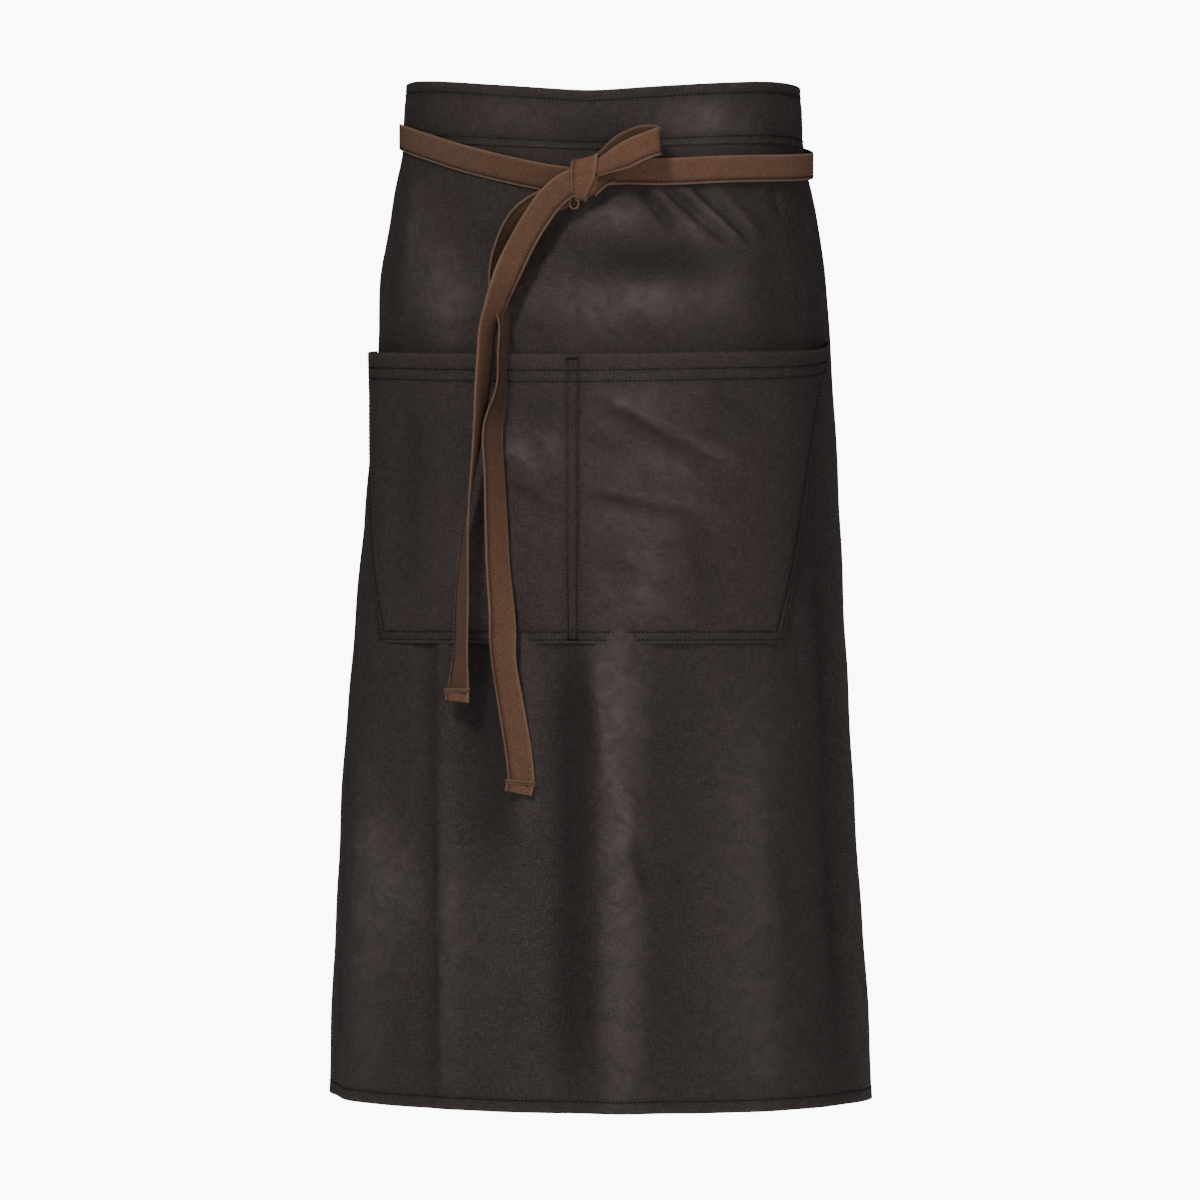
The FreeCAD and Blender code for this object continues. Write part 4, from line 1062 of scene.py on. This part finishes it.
# knotCore: a rounded lump, each half axis times a rounded sine or cosine, hidden under the wrap
def roundedLump(name, centre, halves, material):
    a = np.linspace(-math.pi / 2, math.pi / 2, 17)[:, None]
    b = np.linspace(0, 2 * math.pi, 33)[None, :-1]
    soft = lambda q: np.sign(q) * np.abs(q) ** 0.75
    x = halves[0] * soft(np.sin(a)) * np.ones_like(b)
    y = halves[1] * soft(np.cos(a)) * soft(np.cos(b))
    z = halves[2] * soft(np.cos(a)) * soft(np.sin(b))
    points = np.stack([x, y, z], axis=-1)[1:-1] + np.array(centre)
    n, m = points.shape[:2]
    r, c = np.arange(n - 1)[:, None], np.arange(m)[None, :]
    nextC = (c + 1) % m
    quads = np.stack([r * m + c, (r + 1) * m + c, (r + 1) * m + nextC, r * m + nextC], axis=-1)
    quads = quads.reshape(-1, 4)[:, ::-1]
    fan = np.arange(1, m - 1)
    low = np.stack([np.zeros(m - 2, int), fan, fan + 1], axis=-1)
    triangles = np.concatenate([low, low[:, ::-1] + (n - 1) * m])
    uv = points.reshape(-1, 3)[:, [0, 2]]
    return makePiece(name, points, quads, uv, material, triangles)


corePiece = roundedLump("knotCore", (0.0095, -0.1412, -0.0235), (0.0095, 0.0056, 0.015), tieCloth)

# the small curl of fold that shows under the knot
curlTurn = np.linspace(0, 2 * math.pi * 0.92, 30) + math.pi * 0.6
curlPath = np.stack([-0.0002 + 0.0036 * np.cos(curlTurn), -0.1425 + 0.0006 * curlTurn / 6,
                     -0.044 + 0.004 * np.sin(curlTurn)], axis=-1)
curlStrap = dict(tie, width=0.006, thick=0.0012, sewnInset=0.0015, rimSwell=0.1)
curlWays = np.broadcast_to(np.array([0, 1.0, 0]), curlPath.shape)
curlPiece = makeStrap("knotCurl", curlPath, curlWays, curlStrap, tieCloth)[0]
finishPiece(wrapPiece, "apron", "tie_cloth", "tie_knot")
for piece in (underPiece, corePiece, curlPiece):
    finishPiece(piece, "apron", "tie_cloth")
sewTie("knotStitches", wrapRows + [underRow], "apron")
print("knot made")


bow = {
    "stations": [
        (0.013, -0.144, -0.0185, -0.34, 0, 0.94), (0.022, -0.1452, -0.0148, -0.4, 0.02, 0.91),
        (0.04, -0.1462, -0.0068, -0.43, 0.03, 0.9), (0.053, -0.1456, -0.0006, -0.38, 0.05, 0.92),
        (0.061, -0.144, 0.0026, -0.24, 0.12, 0.96), (0.0662, -0.1404, 0.0046, -0.06, 0.16, 0.98),
        (0.0668, -0.136, 0.0062, -0.06, 0.12, 0.99), (0.0625, -0.1326, 0.008, -0.22, 0.04, 0.97),
        (0.054, -0.1318, 0.0082, -0.34, 0, 0.94), (0.04, -0.1345, 0.0026, -0.44, 0, 0.89),
        (0.024, -0.14, -0.008, -0.45, 0, 0.89), (0.014, -0.141, -0.015, -0.4, 0, 0.92),
    ],
}
bowPath = smoothPath(bow["stations"], 0.0018)
bowStrap = dict(tie, sewnSide=-1)
# the far layer of the loop lies in its own shadow, painted as shade by darkening its colour
bowRun = distances(bowPath[:, :3])
bowTone = -0.85 * ease(bowRun, 0.058, 0.068)
# the strap is pinched where the knot grips it, at both ends of the loop
bowScale = 0.6 + 0.4 * ease(np.minimum(bowRun, bowRun[-1] - bowRun), 0.004, 0.034)
bowPiece, _, bowWide, bowOut = makeStrap("bowLoopStrap", bowPath[:, :3], unit(bowPath[:, 3:]), bowStrap,
                                         tieCloth, scale=bowScale, curl=0.0006, tone=bowTone)
bowRow = strapRow(bowPath[:, :3], bowWide, bowOut, bowStrap, -1, scale=bowScale)
finishPiece(bowPiece, "bow_loop", "tie_cloth", "bow_loop")
sewTie("bowLoopStitches", [bowRow], "bow_loop", "bow_loop_stitching")
print("bow loop made")


studio = {
    "cameraTurn": 9.0, "cameraDistance": 4.2, "cameraHeight": -0.36, "lens": 152.7, "sensor": 36.0,
    "shiftX": -0.0021, "shiftY": 0.0,
    # place, aim, size across, size up, power
    "lights": {"softKey": ((-0.8, -2.8, 2.1), (0, 0, -0.3), 0.7, 0.7, 98.0),
               "softFill": ((1.5, -3.4, 0.1), (0, 0, -0.45), 0.8, 1.2, 28.0),
               "lowFill": ((0.1, -3.8, -0.6), (0, 0, -0.6), 0.9, 1.0, 18.0),
               "leftEdge": ((-3.2, -0.9, 0.2), (0, 0, -0.35), 0.9, 1.6, 8.0),
               "rightEdge": ((3.2, -0.9, 0.2), (0, 0, -0.35), 0.9, 1.6, 22.0)},
    "worldLevel": 0.08, "backgroundLevel": 10.0, "floorHeight": -1.05, "floorReach": 12.0,
}
scene = bpy.context.scene
camera = bpy.data.objects.new("frontCamera", bpy.data.cameras.new("frontCamera"))
scene.collection.objects.link(camera)
around = math.radians(studio["cameraTurn"])
camera.location = (studio["cameraDistance"] * math.sin(around), -studio["cameraDistance"] * math.cos(around),
                   studio["cameraHeight"])
camera.rotation_euler = (math.pi / 2, 0, around)
camera.data.lens, camera.data.sensor_width = studio["lens"], studio["sensor"]
camera.data.shift_x, camera.data.shift_y = studio["shiftX"], studio["shiftY"]
scene.camera = camera

for name, (spot, aim, wide, tall, power) in studio["lights"].items():
    lamp = bpy.data.lights.new(name, "AREA")
    lamp.shape, lamp.size, lamp.size_y, lamp.energy = "RECTANGLE", wide, tall, power
    holder = bpy.data.objects.new(name, lamp)
    scene.collection.objects.link(holder)
    towards = np.array(aim, float) - np.array(spot, float)
    towards /= np.linalg.norm(towards)
    holder.location = spot
    holder.rotation_euler = (math.acos(-towards[2]), 0, math.atan2(-towards[0], towards[1]))

world = bpy.data.worlds.new("paleStudio")
scene.world = world
world.use_nodes = True
worldTree = world.node_tree
sky = worldTree.nodes["Background"]
rays = place(worldTree, "ShaderNodeLightPath").outputs["Is Camera Ray"]
skyLevel = spanTo(worldTree, rays, 0.0, 1.0, studio["worldLevel"], studio["backgroundLevel"])
join(worldTree, skyLevel, sky.inputs["Strength"])
sky.inputs["Color"].default_value = (1, 1, 1, 1)

floorMaterial, floorTree, floorShader = newMaterial("paleFloor")
floorShader.inputs["Base Color"].default_value = (0.86, 0.86, 0.86, 1)
floorShader.inputs["Roughness"].default_value = 0.9
floorMix = place(floorTree, "ShaderNodeMixShader")
floorGlow = place(floorTree, "ShaderNodeEmission")
floorGlow.inputs["Strength"].default_value = studio["backgroundLevel"]
join(floorTree, place(floorTree, "ShaderNodeLightPath").outputs["Is Camera Ray"], floorMix.inputs[0])
join(floorTree, floorShader.outputs[0], floorMix.inputs[1])
join(floorTree, floorGlow.outputs[0], floorMix.inputs[2])
join(floorTree, floorMix.outputs[0], floorTree.nodes["Material Output"].inputs["Surface"])
floorMesh = bpy.data.meshes.new("studioFloor")
corners = [(x * studio["floorReach"], y * studio["floorReach"], studio["floorHeight"])
           for x, y in ((-1, -1), (1, -1), (1, 1), (-1, 1))]
floorMesh.from_pydata(corners, [], [(0, 1, 2, 3)])
floorMesh.materials.append(floorMaterial)
floor = bpy.data.objects.new("studioFloor", floorMesh)
scene.collection.objects.link(floor)

print("studio made")
